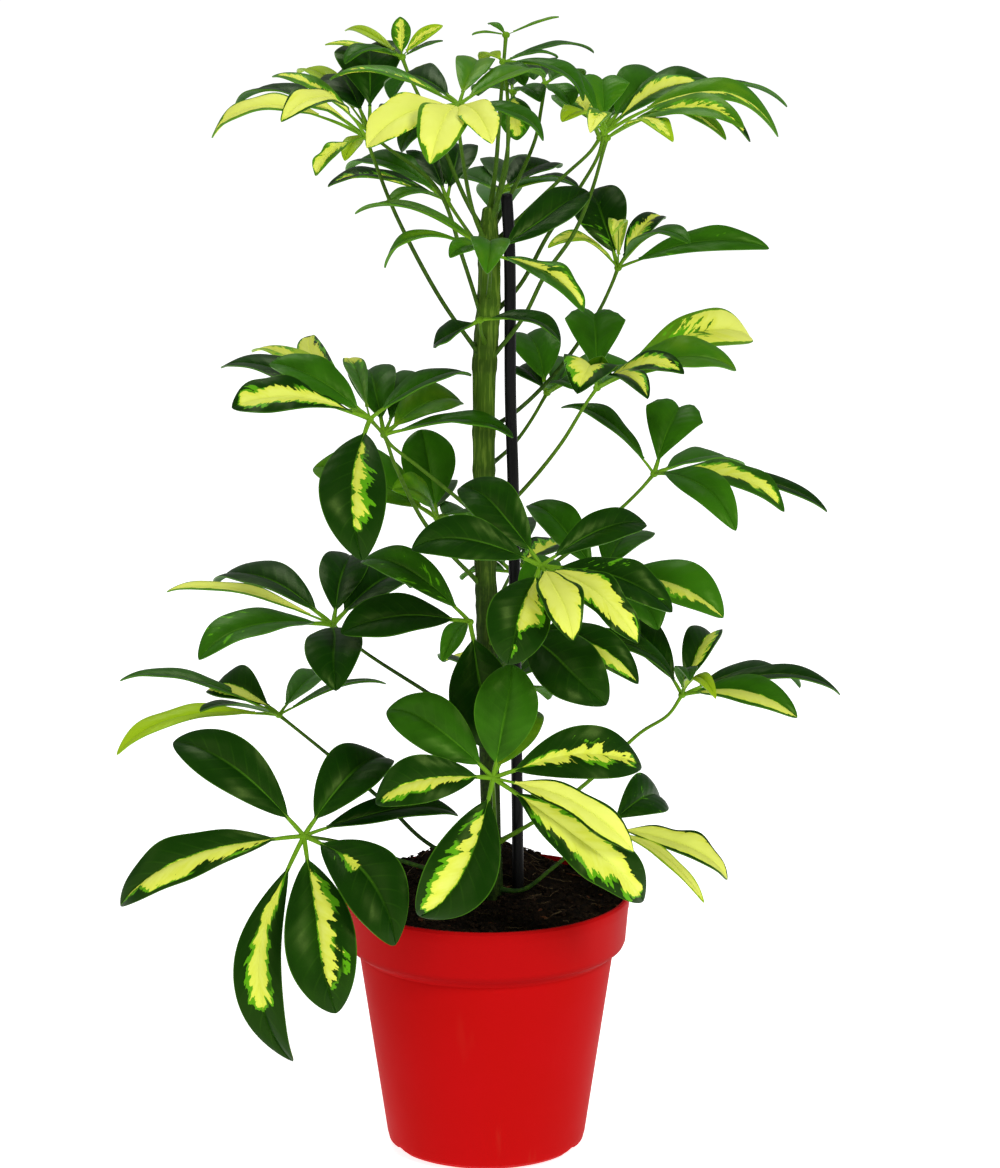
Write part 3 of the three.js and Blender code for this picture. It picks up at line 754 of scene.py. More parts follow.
@dataclass(frozen=True)
class PeatFinish:
    """Moist peat, bark bits and pale root fibres."""

    name: str
    first: Colour
    second: Colour
    scale: float = 260.0
    rough: float = 0.92
    gloss: float = 0.05

    def material(self) -> Material:
        """The material of one sort of bit.

        Returns:
            The material.
        """
        g = Graph(self.name)
        clumps = g.cloud(g.place(), self.scale, 5.0, 0.7)
        g.relief(g.cloud(g.place(), self.scale * 3, 4.0, 0.7), 0.9, 0.0012)
        return g.done(g.mix(g.step(clumps, 0.35, 0.7), self.first, self.second), self.rough, self.gloss)


@dataclass(frozen=True)
class StakeFinish:
    """Black plastic with fine lengthwise drawing marks."""

    black: Colour = (0.002, 0.002, 0.0022)
    grey: Colour = (0.005, 0.005, 0.0055)
    rough: float = 0.32
    gloss: float = 0.12

    def material(self) -> Material:
        """The stake's material.

        Returns:
            The material.
        """
        g = Graph("black_plastic")
        x, y, z = g.split(g.place())
        marks = g.cloud(g.joined(x, y, g.times(z, 0.04)), 1600.0, 3.0)
        g.relief(marks, 0.4, 0.0002)
        return g.done(g.mix(marks, self.black, self.grey), g.raised(self.rough, marks, 0.2), self.gloss)


# ---- the leaves


@dataclass(frozen=True)
class Leaflet:
    """One leaflet: its tip in the view, how far front that is, its width, its green and its gold."""

    px: float
    py: float
    front: float
    width: float
    tone: Tone
    mark: Mark = PLAIN
    share: float = 0.0
    until: float = 1.0
    arch: float = 0.16
    tilt: float | None = None
    bow: float = 0.0
    fold: float = 12.0
    skew: float = 1.12
    wave: float = 1.0
    heart: bool = False


@dataclass(frozen=True)
class Leaf:
    """One compound leaf: its hub, its tilt, the pixel row of its foot on the stem, its bends and leaflets."""

    name: str
    hub: Place
    tilt: float
    joins: float
    petiole: tuple[Place, ...]
    leaflets: tuple[Leaflet, ...]
    stalk: float = 0.15
    # how far the long stalk leans to the fresh lime; near nought on several low leaves, partly real and
    # partly painted shade under the foliage
    stalk_tone: float = 0.22


LEAVES: tuple[Leaf, ...] = (
    Leaf("leaf_low_left_front", (304, 836, 58), 58, 888, ((340, 842, 50), (425, 868, 24)), (
        Leaflet(174, 742, 40, 25, DARK),
        Leaflet(121, 906, 62, 21, DARK, LOWER, .42, until=.82, wave=1.6),
        Leaflet(293, 1061, 76, 22, DARK, CENTRE, .34, arch=.14, bow=-.22, until=.74),
        Leaflet(336, 1013, 92, 32, DARK, RIGHT, .28, arch=.12, tilt=66, bow=-.04, until=.84),
        Leaflet(395, 945, 92, 30, DARK, CENTRE, .12, arch=.14, tilt=66, bow=.12, until=.42),
        Leaflet(388, 760, 22, 28, DARK, arch=.2, tilt=40),
        Leaflet(458, 816, 26, 18, DARK, arch=.08, tilt=28),
    ), stalk_tone=.02),
    Leaf("leaf_low_left_back", (279, 715, -8), 4, 876, ((325, 752, -6), (385, 803, -3), (426, 842, 0)), (
        Leaflet(120, 681, -22, 15, GREY, arch=.14, tilt=-2),
        Leaflet(117, 755, 22, 15, LIME, tilt=12, wave=1.8),
        Leaflet(200, 712, 44, 11, DARK, arch=.06, tilt=8),
        Leaflet(214, 690, -30, 22, DARK, LOWER, .6, arch=.2, tilt=40, skew=1.5),
        Leaflet(328, 677, -62, 15, MID, arch=.1, tilt=22),
        Leaflet(386, 684, -22, 12, GREY, arch=.14, tilt=-6),
    ), stalk_tone=.02),
    Leaf("leaf_left_middle", (333, 625, 15), 14, 738, ((362, 650, 14), (443, 703, 9)), (
        Leaflet(167, 592, 6, 12, BRIGHT, FULL, .8, arch=.11, tilt=8, wave=1.8),
        Leaflet(216, 585, -36, 24, DARK, arch=.18, tilt=12),
        Leaflet(199, 660, 50, 24, MID, FLECKS),
        Leaflet(350, 556, -38, 22, DARK, arch=.06, tilt=45),
        Leaflet(410, 588, -34, 25, DARK, arch=.2, tilt=20),
        Leaflet(336, 691, 64, 26, DARK, arch=.12, tilt=56),
    ), stalk_tone=.05),
    Leaf("leaf_mid_left_front", (470, 622, 38), 36, 704, ((478, 656, 24),), (
        Leaflet(362, 562, 8, 19, MID, FLECKS),
        Leaflet(341, 633, 56, 23, DARK, arch=.05, tilt=40),
        Leaflet(492, 748, 50, 31, DARK, arch=.14, tilt=78, bow=-.02),
        Leaflet(442, 662, 70, 10, BRIGHT, arch=.12, tilt=50),
    ), stalk_tone=.1),
    Leaf("leaf_low_front", (493, 778, 76), 64, 862, ((494, 800, 52), (495, 838, 22)), (
        Leaflet(388, 710, 60, 25, MID),
        Leaflet(376, 803, 86, 22, DARK, LOWER, .24),
        Leaflet(420, 916, 92, 31, DARK, LEFT, .2, bow=.22),
        Leaflet(643, 901, 80, 25, DARK, CENTRE, .62, bow=-.06, wave=1.5),
        Leaflet(633, 852, 90, 14, DARK, FULL, .84, arch=.2, wave=2.6),
        Leaflet(641, 766, 62, 25, DARK, CENTRE, .34),
        Leaflet(512, 665, 66, 28, MID, arch=.12, tilt=70, bow=-.04),
        Leaflet(537, 712, 48, 18, BRIGHT),
    ), stalk_tone=.2),
    Leaf("leaf_mid_front", (541, 566, 88), 52, 678, ((535, 592, 66), (518, 648, 32)), (
        Leaflet(460, 488, 62, 22, DARK),
        Leaflet(412, 549, 88, 21, DARK),
        Leaflet(508, 664, 112, 28, DARK, RIGHT, .34, arch=.14, tilt=64, until=.62),
        Leaflet(573, 641, 124, 18, DARK, FULL, .74, arch=.14, tilt=56, wave=2),
        Leaflet(638, 643, 116, 17, DARK, FULL, .52, wave=2.4),
        Leaflet(672, 612, 98, 19, DARK, FLECKS, arch=.1, tilt=44, wave=1.5),
        Leaflet(646, 525, 60, 17, DARK, arch=.08, tilt=44),
    )),
    Leaf("leaf_mid_right_back", (600, 580, -16), 26, 700, ((575, 600, -16), (532, 650, -14)), (
        Leaflet(723, 618, 12, 28, BRIGHT, LOWER, .36, tilt=30),
        Leaflet(658, 630, 36, 25, MID, arch=.14, tilt=34),
        Leaflet(638, 540, -66, 24, MID, arch=.18, tilt=30),
        Leaflet(528, 506, -46, 20, MID, arch=.14, tilt=34),
    )),
    Leaf("leaf_mid_right_front", (520, 628, 28), 44, 644, ((504, 637, 20),), (
        Leaflet(606, 705, 62, 30, DARK, tilt=50, bow=-.12),
        Leaflet(638, 684, 54, 18, DARK, LEFT, .34),
        Leaflet(674, 682, 16, 11, DARK, arch=.14, tilt=30),
        Leaflet(552, 560, -4, 17, MID),
    )),
    Leaf("leaf_low_right", (682, 695, 8), 12, 846,
         ((668, 715, 8), (640, 733, 9), (590, 780, 10), (540, 818, 10)), (
        Leaflet(616, 626, -28, 18, DARK, arch=.2, tilt=30),
        Leaflet(713, 637, -30, 18, DARK, RIGHT, .38, arch=.2, tilt=34, fold=30),
        Leaflet(690, 681, 44, 10, MID, arch=.2, tilt=30),
        Leaflet(716, 699, 50, 8, LIME, arch=.2, tilt=34),
        Leaflet(797, 718, 38, 18, MID, LOWER, .58, arch=.14, tilt=34),
        Leaflet(840, 695, -4, 15, DARK),
        Leaflet(800, 688, -42, 14, DARK),
    ), stalk_tone=.55),
    Leaf("leaf_low_right_gold", (606, 828, 24), 34, 888, ((600, 830, 23), (555, 866, 18), (522, 890, 14)), (
        Leaflet(660, 799, -14, 22, DARK, FLECKS, arch=.1, tilt=64, skew=1.4),
        Leaflet(727, 880, 28, 16, DARK, FULL, .82, arch=.14, tilt=30, wave=2),
        Leaflet(704, 903, 66, 6.5, LIME, FULL, .74, arch=.12, tilt=26, wave=2.4),
        Leaflet(578, 815, -44, 12, DARK, arch=.04, tilt=30),
    ), stalk_tone=0),
    Leaf("leaf_right_middle", (654, 474, -4), 14, 606,
         ((640, 490, -4), (617, 512, -6), (556, 562, -10), (520, 586, -10)), (
        Leaflet(561, 408, -26, 14, MID, arch=.2, tilt=6, wave=2),
        Leaflet(682, 404, -30, 27, MID, arch=.08, tilt=40, fold=8, heart=True),
        Leaflet(827, 512, -6, 13, DARK, arch=.1),
        Leaflet(784, 512, 18, 17, MID, CENTRE, .48, arch=.18, tilt=26, wave=1.7),
        Leaflet(742, 474, -46, 20, MID, tilt=4),
        Leaflet(736, 531, 50, 17, MID, tilt=52, skew=1.3),
    ), stalk_tone=.3),
    Leaf("leaf_upper_right_front", (597, 388, 26), 16, 528, ((585, 405, 20), (560, 445, 4), (525, 488, -9)), (
        Leaflet(594, 311, -10, 27, MID, arch=.08, tilt=40, fold=8, heart=True),
        Leaflet(577, 394, 78, 24, DARK, CENTRE, .6, arch=.18, tilt=50),
        Leaflet(603, 356, 44, 12, BRIGHT, arch=.1, tilt=60),
        Leaflet(736, 371, 26, 24, BRIGHT, arch=.18, tilt=22),
        Leaflet(750, 338, -30, 22, BRIGHT, TIP, .5, arch=.1, tilt=58, skew=1.8, wave=1.6),
        Leaflet(684, 374, 50, 17, DARK, CENTRE, .5, tilt=26),
        Leaflet(648, 399, 74, 14, DARK, UPPER, .3, tilt=24),
    ), stalk_tone=.45),
    Leaf("leaf_upper_right_back", (547, 393, -44), 10, 470, ((530, 422, -36), (512, 446, -22)), (
        Leaflet(525, 338, -84, 24, MID, arch=.24, tilt=16),
        Leaflet(514, 372, -76, 18, DARK),
        Leaflet(577, 390, -22, 18, MID, arch=.18, tilt=20),
        Leaflet(590, 380, -98, 24, MID, arch=.18),
        Leaflet(640, 376, -72, 24, MID, arch=.18),
    )),
    Leaf("leaf_upper_left_front", (370, 419, 35), 18, 590, ((384, 436, 33), (395, 465, 29), (428, 528, 16)), (
        Leaflet(221, 368, -4, 19, DARK, BASE, .4, arch=.1),
        Leaflet(232, 408, 54, 22, DARK, CENTRE, .56, arch=.1, tilt=34, skew=1.7, wave=1.6),
        Leaflet(362, 560, 78, 30, DARK, RIGHT, .16, tilt=76, bow=-.1, until=.85),
        Leaflet(270, 364, 26, 22, MID, arch=.08, tilt=30),
        Leaflet(252, 352, -40, 13, LIME, CENTRE, .6, arch=.08),
        Leaflet(312, 336, -60, 13, DARK, CENTRE, .8, arch=0, tilt=30, bow=.12),
        Leaflet(349, 359, -30, 10, BRIGHT, TIP, .3, arch=.05, skew=1.5),
        Leaflet(471, 376, 2, 18, MID, arch=.14, tilt=2),
    )),
    Leaf("leaf_upper_left_back", (384, 435, 6), 14, 522, ((390, 444, 6), (420, 468, 7), (462, 502, 6)), (
        Leaflet(462, 404, -14, 24, BRIGHT, arch=.2, tilt=20),
        Leaflet(366, 376, -44, 22, MID, arch=.2, tilt=34),
        Leaflet(513, 438, 16, 18, MID, tilt=4),
        Leaflet(428, 384, -50, 18, MID, arch=.2, tilt=20),
    )),
    Leaf("leaf_left_inner", (437, 518, -22), 40, 562, ((452, 536, -14),), (
        Leaflet(421, 430, -40, 25, MID, arch=.04, tilt=56),
        Leaflet(392, 490, 2, 18, BRIGHT, tilt=44),
        Leaflet(314, 468, -44, 30, BRIGHT, arch=.06, tilt=36),
        Leaflet(474, 524, -54, 22, MID, arch=.14, tilt=20),
        Leaflet(430, 500, -88, 24, DARK, tilt=10),
    )),
    Leaf("leaf_top_left_front", (366, 137, 26), 4, 362, ((376, 165, 26), (396, 215, 24), (440, 298, 12)), (
        Leaflet(212, 138, 22, 17, BRIGHT, FULL, .9, arch=.26, tilt=20, until=.88, wave=1.8),
        Leaflet(236, 106, -10, 18, DARK, arch=.22),
        Leaflet(288, 104, 44, 13, BRIGHT, FULL, .7, arch=.1, tilt=20),
        Leaflet(316, 176, 40, 10, BRIGHT, CENTRE, .7, arch=.2, tilt=20, wave=2.6),
        Leaflet(281, 122, 74, 15, DARK, FULL, .8, arch=.24, tilt=30, wave=2),
    ), stalk=.3, stalk_tone=.15),
    Leaf("leaf_top_left_back", (370, 134, -14), 8, 334, ((384, 145, -8), (438, 190, 8), (464, 262, 6)), (
        Leaflet(272, 77, -30, 13, BRIGHT, CENTRE, .4, arch=.14),
        Leaflet(298, 74, -70, 12, LIME),
        Leaflet(345, 161, 12, 9, LIME, tilt=10),
        Leaflet(370, 45, -46, 31, DARK, arch=.12, tilt=64, skew=1.6),
        Leaflet(334, 80, -60, 24, DARK, tilt=50),
        Leaflet(420, 128, -76, 22, DARK),
    ), stalk=.25),
    Leaf("leaf_top_tuft", (402, 57, -22), 30, 240, ((409, 75, -22), (441, 142, -15), (466, 200, -6)), (
        Leaflet(400, 17, -22, 9, BRIGHT, CENTRE, .5, arch=.04, tilt=84),
        Leaflet(443, 26, -18, 6, LIME, CENTRE, .4, arch=.06, tilt=60),
        Leaflet(443, 41, -30, 5, GREY, arch=.06, tilt=0),
        Leaflet(325, 45, -38, 5, LIME, CENTRE, .5, arch=.02, tilt=20),
        Leaflet(345, 31, -64, 5.5, LIME, arch=.02, tilt=40),
        Leaflet(345, 64, -2, 14, MID, arch=.2, tilt=10),
    )),
    Leaf("leaf_top_sprig", (506, 35, -16), 0, 212, ((504, 60, -12), (500, 110, -6), (496, 165, -6)), (
        Leaflet(559, 17, -16, 4, BRIGHT, arch=.04),
        Leaflet(488, 24, -22, 5, BRIGHT),
        Leaflet(472, 35, -10, 3.5, BRIGHT, arch=.1),
    )),
    Leaf("leaf_top_front", (459, 105, 52), 30, 250, ((458, 115, 49), (463, 160, 30), (474, 215, 9)), (
        Leaflet(367, 148, 74, 20, BRIGHT, FULL, 1, arch=.15, tilt=44, wave=1.7),
        Leaflet(430, 164, 88, 22, BRIGHT, FULL, .92, arch=.2, tilt=56, until=.9, wave=1.6),
        Leaflet(492, 144, 88, 16, BRIGHT, FULL, 1, arch=.12, tilt=50, wave=1.8),
        Leaflet(543, 141, 58, 14, MID, arch=.2, tilt=14),
        Leaflet(330, 80, 30, 14, BRIGHT, CENTRE, .14, tilt=2),
        Leaflet(484, 74, 2, 17, BRIGHT, arch=.22, tilt=20),
        Leaflet(392, 100, 10, 20, DARK, arch=.26, tilt=20),
        Leaflet(545, 78, 16, 17, BRIGHT, tilt=4),
        Leaflet(402, 152, 58, 15, DARK, arch=.2, tilt=20),
    )),
    Leaf("leaf_top_young", (503, 62, -2), 6, 226, ((507, 90, 4), (508, 130, 7), (506, 170, 7)), (
        Leaflet(583, 101, 8, 17, MID, arch=.26),
        Leaflet(558, 58, -16, 7, GREY, arch=.14),
        Leaflet(594, 53, -52, 7, GREY, arch=.1),
        Leaflet(482, 64, -26, 9, LIME, arch=.2),
        Leaflet(524, 86, 14, 10, MID, arch=.2),
    )),
    Leaf("leaf_top_inner", (513, 92, -32), 20, 226, ((511, 115, -28), (505, 165, -16)), (
        Leaflet(517, 140, -18, 15, MID, CENTRE, .4, arch=.14, tilt=50),
        Leaflet(540, 102, -8, 13, MID),
        Leaflet(478, 96, -52, 16, MID, tilt=10),
        Leaflet(506, 86, -76, 18, DARK),
    )),
    Leaf("leaf_top_back", (545, 84, -44), 6, 234, ((541, 110, -38), (535, 140, -30), (508, 200, -12)), (
        Leaflet(570, 106, -30, 15, MID, arch=.2),
        Leaflet(534, 80, -92, 18, DARK, arch=.2),
        Leaflet(580, 80, -66, 15, GREY, arch=.2),
    )),
    Leaf("leaf_top_right_front", (607, 138, 24), 8, 366,
         ((603, 152, 22), (592, 190, 17), (573, 235, 11), (545, 275, 8), (523, 318, 7)), (
        Leaflet(750, 142, 36, 13, DARK, CENTRE, .55, arch=.3, wave=2),
        Leaflet(726, 140, 66, 12, BRIGHT, LOWER, .4, arch=.24, tilt=16, wave=2),
        Leaflet(744, 128, 78, 15, BRIGHT, CENTRE, .22, arch=.12, tilt=40),
        Leaflet(673, 142, 70, 11, LIME, CENTRE, .5, arch=.2, wave=2.4),
        Leaflet(590, 133, 62, 10, BRIGHT, TIP, .35, arch=.24, tilt=40),
    ), stalk=.3),
    Leaf("leaf_top_right_middle", (604, 134, -8), 6, 320,
         ((598, 156, -8), (575, 195, -9), (548, 235, -9), (520, 285, -9)), (
        Leaflet(778, 137, -6, 17, BRIGHT, LOWER, .34, arch=.34, tilt=26),
        Leaflet(787, 107, -48, 12, GREY, arch=.2),
        Leaflet(602, 77, -30, 24, BRIGHT, arch=.08, tilt=40, fold=8, heart=True),
        Leaflet(562, 122, 14, 14, LIME, arch=.26, tilt=10),
        Leaflet(547, 68, -14, 13, MID, arch=.24),
    ), stalk=.25),
    Leaf("leaf_top_right_back", (600, 138, -38), 12, 248,
         ((590, 152, -36), (565, 175, -28), (530, 208, -16)), (
        Leaflet(668, 84, -72, 26, MID, arch=.2, tilt=34),
        Leaflet(636, 100, -86, 22, GREY, arch=.2, tilt=20),
        Leaflet(700, 84, -40, 15, MID, LEFT, .34, arch=.14, tilt=26),
        Leaflet(722, 92, -64, 20, GREY, arch=.26),
        Leaflet(566, 110, -86, 22, MID, CENTRE, .4, arch=.2),
    ), stalk=.25),
    Leaf("leaf_crown_right", (618, 268, -14), 12, 432,
         ((611, 286, -18), (596, 316, -26), (558, 370, -20), (518, 410, -11)), (
        Leaflet(769, 249, -12, 14, MID, FLECKS, arch=.08, tilt=40, wave=1.5),
        Leaflet(586, 194, -46, 25, DARK, FLECKS, arch=.2, tilt=50),
        Leaflet(548, 248, 6, 12, LIME, CENTRE, .6, arch=.24, tilt=20),
        Leaflet(612, 236, 30, 9, LIME, FULL, .5, arch=.24, tilt=40),
        Leaflet(664, 219, -52, 12, DARK, CENTRE, .46, tilt=20),
        Leaflet(690, 244, 26, 15, MID, arch=.2, tilt=16),
    ), stalk_tone=.12),
    Leaf("leaf_crown_front", (492, 255, 52), 24, 300, ((490, 274, 28),), (
        Leaflet(385, 268, 44, 11, BRIGHT, arch=.34, skew=2.4),
        Leaflet(355, 214, 30, 14, BRIGHT, arch=.2, tilt=0),
        Leaflet(450, 258, 72, 12, BRIGHT, arch=.2, tilt=20),
        Leaflet(487, 274, 104, 17, BRIGHT, arch=.14, tilt=64),
        Leaflet(588, 192, 18, 18, DARK, arch=.03, tilt=46, bow=-.08),
        Leaflet(583, 312, 74, 15, MID, UPPER, .28, tilt=16, wave=2.2),
    )),
    Leaf("leaf_stem_front", (480, 320, 30), 4, 346, ((481, 332, 16),), (
        Leaflet(434, 346, 24, 20, DARK, arch=0, tilt=20, skew=1.5),
        Leaflet(560, 342, 36, 17, DARK, arch=.22, tilt=6),
    )),
    Leaf("leaf_crown_left", (447, 200, -8), 8, 262, ((456, 214, -6),), (
        Leaflet(347, 172, -46, 21, MID, arch=.2),
        Leaflet(328, 187, 0, 21, DARK, CENTRE, .08, tilt=4),
        Leaflet(386, 206, 18, 10, BRIGHT, tilt=14),
        Leaflet(418, 160, -58, 18, DARK, tilt=30),
        Leaflet(464, 150, -50, 18, DARK, arch=.14, tilt=50),
    )),
    Leaf("leaf_low_back", (500, 690, -60), 2, 736, ((498, 704, -36),), (
        Leaflet(500, 644, -132, 21, MID),
        Leaflet(444, 662, -104, 21, DARK, CENTRE, .3),
        Leaflet(562, 664, -102, 21, MID),
        Leaflet(462, 706, -80, 18, DARK),
        Leaflet(548, 700, -78, 18, MID),
    ), stalk_tone=.1),
    Leaf("leaf_mid_back", (512, 572, -62), 2, 626, ((504, 588, -36),), (
        Leaflet(516, 528, -134, 21, DARK),
        Leaflet(456, 548, -106, 21, MID),
        Leaflet(576, 552, -104, 21, DARK, CENTRE, .34),
        Leaflet(462, 580, -74, 18, MID),
        Leaflet(570, 584, -74, 18, DARK),
    ), stalk_tone=.1),
    Leaf("leaf_crown_back", (500, 192, -48), 0, 256, ((497, 210, -30),), (
        Leaflet(578, 188, -36, 22, DARK, tilt=-2),
        Leaflet(558, 168, -78, 22, DARK, arch=.14, tilt=6),
        Leaflet(506, 168, -104, 22, GREY, arch=.14, tilt=8),
        Leaflet(446, 184, -88, 22, MID, arch=.14, tilt=4),
        Leaflet(500, 216, -118, 22, DARK, arch=.14),
    )),
)


# ---- stem and stake


@dataclass(frozen=True)
class MainStem:
    """The upright stem: [pixel column, pixel row, front, radius] up its line, in millimetres."""

    line: tuple[tuple[float, float, float, float], ...] = (
        (492.5, 893, 7, 4.3), (489, 760, 6, 4.4), (486, 600, 4, 4.5), (484, 482, 2, 4.7),
        (485, 365, 0, 5.1), (489.5, 278, 0, 5), (489, 238, -1, 4.2), (490, 206, -2, 2.8),
    )
    depth: float = 45.0
    sides: int = 28
    rows: int = 240
    ridge: float = 0.07
    ridge_scale: float = 2.2
    ridge_rise: float = 0.035
    flute: float = 0.03
    flutes: int = 7
    flute_twist: float = 0.02
    scar_height: float = 2.6
    scar_swell: float = 0.09
    top_shape: tuple[float, ...] = (0.9, 0.7, 0.3)
    sharp: float = 60.0

    def at_row(self, row: float) -> np.ndarray:
        """The point on the stem's middle line that is seen at a pixel row.

        Args:
            row: the pixel row.

        Returns:
            The point in millimetres.
        """
        above = next(i for i, place in enumerate(self.line) if place[1] <= row)
        high, low = self.line[above], self.line[max(above - 1, 0)]
        share = 0.0 if high is low else (row - low[1]) / (high[1] - low[1])
        px, front = (low[k] + (high[k] - low[k]) * share for k in (0, 2))
        return VIEW.seen_at(px, row, front)

    def radius_at(self, height: float) -> float:
        """The stem's radius at a height in millimetres."""
        heights = [VIEW.seen_at(*place[:3])[2] for place in self.line]
        return float(np.interp(height, heights, [place[3] for place in self.line]))

    def build(self, joins: list[float]) -> None:
        """Models the stem.

        Args:
            joins: the pixel rows at which the leaf stalks leave it.
        """
        places = [VIEW.seen_at(*place[:3]) for place in self.line]
        line = through([places[0] - np.array([0.0, 0.0, self.depth]), *places], self.rows + 1)
        scars = np.array(sorted(self.at_row(row)[2] for row in joins))
        scar = np.exp(-(((line[:, 2:] - scars) / self.scar_height) ** 2)).sum(axis=1).clip(max=1.0)
        radii = np.array([self.radius_at(z) for z in line[:, 2]]) * (1 + self.scar_swell * scar)
        radii[-3:] *= self.top_shape
        blank = bar_blank("stem_bar", self.sides, self.rows)
        at = points_of(blank)
        bearing, row = np.arctan2(at[:, 1], at[:, 0]), at[:, 2] * self.rows
        ring = np.rint(row).astype(int)
        scale = self.ridge_scale
        ridges = 1 - self.ridge * np.array([
            noise.noise(Vector((math.cos(a) * scale, math.sin(a) * scale, z * self.ridge_rise)))
            for a, z in zip(bearing, line[ring, 2])
        ])
        ridges += self.flute * np.cos(self.flutes * bearing + row * self.flute_twist)
        stem = fused("main_stem_bark", [copy_of(blank, carried(blank, line, radii, ridges), scar=scar[ring])])
        removed(blank)
        smooth(stem, self.sharp)
        dress(stem, BarkFinish().material())
        keep(stem, "stem", "main_stem")


@dataclass(frozen=True)
class Stake:
    """The thin plastic stake that stands beside the stem."""

    line: tuple[Place, ...] = (
        (518, 893, 0), (515.5, 665, 0), (513, 480, 0), (510.5, 400, 0), (509.5, 250, 0), (506, 187, 0),
    )
    radius: float = 2.6
    tip: float = 22.0
    sides: int = 32
    rows: int = 90
    rib: float = 0.05
    ribs: int = 3
    foot_shape: tuple[float, ...] = (0.25, 0.5, 0.75, 0.92)
    top_shape: tuple[float, ...] = (0.93, 0.6)
    sharp: float = 40.0

    def build(self) -> None:
        """Models the stake, with fine ribs along it, a rounded top and a pointed foot."""
        places = [VIEW.seen_at(*place) for place in self.line]
        line = through([np.array([*places[0][:2], self.tip]), *places], self.rows + 1)
        radii = np.full(len(line), self.radius)
        radii[:4] *= self.foot_shape
        line[-2:] = line[-3] + (line[-3] - line[-4]) * np.array([[0.25], [0.4]])
        radii[-2:] *= self.top_shape
        blank = bar_blank("stake_bar", self.sides, self.rows)
        at = points_of(blank)
        ridges = 1 - self.rib * (0.5 + 0.5 * np.cos(self.ribs * np.arctan2(at[:, 1], at[:, 0]))) ** 6
        stake = fused("plant_stake", [copy_of(blank, carried(blank, line, radii, ridges))])
        removed(blank)
        smooth(stake, self.sharp)
        dress(stake, StakeFinish().material())
        keep(stake, "stake_plastic", "stake")


# ---- leaves


@dataclass
class Midrib:
    """The curve that one leaflet hangs on, from the hub to the leaflet's tip."""

    hub: np.ndarray
    leaflet: Leaflet
    leaf: Leaf
    droop: float = 0.14

    def __post_init__(self) -> None:
        """Works out the curve and the directions across it."""
        tilt = math.radians(self.leaf.tilt if self.leaflet.tilt is None else self.leaflet.tilt)
        tip = VIEW.seen_at(self.leaflet.px, self.leaflet.py, self.leaflet.front)
        chord = tip - self.hub
        self.length = float(np.linalg.norm(chord))
        along = chord / self.length
        face = np.array([0.0, -math.sin(tilt), math.cos(tilt)])
        face -= along * (face @ along)
        face /= np.linalg.norm(face)
        self.side = np.cross(face, along)
        self.side /= np.linalg.norm(self.side)
        upright = np.array([0.0, 0.0, 1.0]) - along * along[2]
        droop = upright * self.droop * math.sin(tilt)
        lift = (face * self.leaflet.arch + droop + self.side * self.leaflet.bow) * self.length
        self.ends = (self.hub, self.hub + 0.3 * chord + 0.6 * lift, self.hub + 0.74 * chord + 1.3 * lift, tip)

    def point(self, share: np.ndarray) -> np.ndarray:
        """Points on the curve at shares of its run."""
        t, (a, b, c, d) = share[:, None], self.ends
        return (1 - t) ** 3 * a + 3 * (1 - t) ** 2 * t * b + 3 * (1 - t) * t**2 * c + t**3 * d

    def tangent(self, share: np.ndarray) -> np.ndarray:
        """The curve's direction at shares of its run.

        Args:
            share: the shares.

        Returns:
            The directions, one a row.
        """
        t, (a, b, c, d) = share[:, None], self.ends
        slope = (1 - t) ** 2 * (b - a) + 2 * (1 - t) * t * (c - b) + t**2 * (d - c)
        return slope / np.linalg.norm(slope, axis=1, keepdims=True)

    def up(self, share: np.ndarray) -> np.ndarray:
        """The direction out of the upper face at shares of the run."""
        out = np.cross(self.tangent(share), self.side)
        return out / np.linalg.norm(out, axis=1, keepdims=True)


def gold_field(leaflet: Leaflet, side: np.ndarray, across: np.ndarray, along: np.ndarray) -> np.ndarray:
    """How far each point lies inside the gold; below nought it is green.

    Args:
        leaflet: the leaflet that is marked.
        side: the direction in which across grows.
        across: places across the blade, from -1 to 1.
        along: places along the blade, from 0 to 1.

    Returns:
        The field at each point.
    """
    share, mark, out = leaflet.share, leaflet.mark, np.abs(across)
    near_tip = 1.3 * np.clip((along - 0.9 * leaflet.until) / 0.1, 0, 1)
    near_base = 0.5 * np.clip(1 - along / 0.14, 0, 1)
    margin = (1.5 if share < 1 else 0.2) * np.clip((out - 0.9) / 0.1, 0, 1)
    if mark in (LEFT, RIGHT, UPPER, LOWER):
        compass = np.array([1.0, 0.0, 0.0]) if mark in (LEFT, RIGHT) else VIEW.up_in_picture()
        turn = math.copysign(1.0, float(side @ compass)) * (1 if mark in (RIGHT, UPPER) else -1)
        # the gold starts at the midrib and reaches a share of the way over that half
        half = across * turn
        return np.minimum(half * 6, 1.6 * share - half) + 0.04 - margin - 0.5 * near_tip - near_base
    if mark is CENTRE:
        return share * 0.9 - out - near_tip - near_base
    if mark is FULL:
        return (share - out) * 1.2 + 0.18 - margin - 0.6 * near_tip
    if mark is TIP:
        return (along - 1 + share) * 2 - margin
    if mark is BASE:
        return (share - along) * 2 - margin
    return np.full(len(across), -0.42 if mark is FLECKS else -4.0)


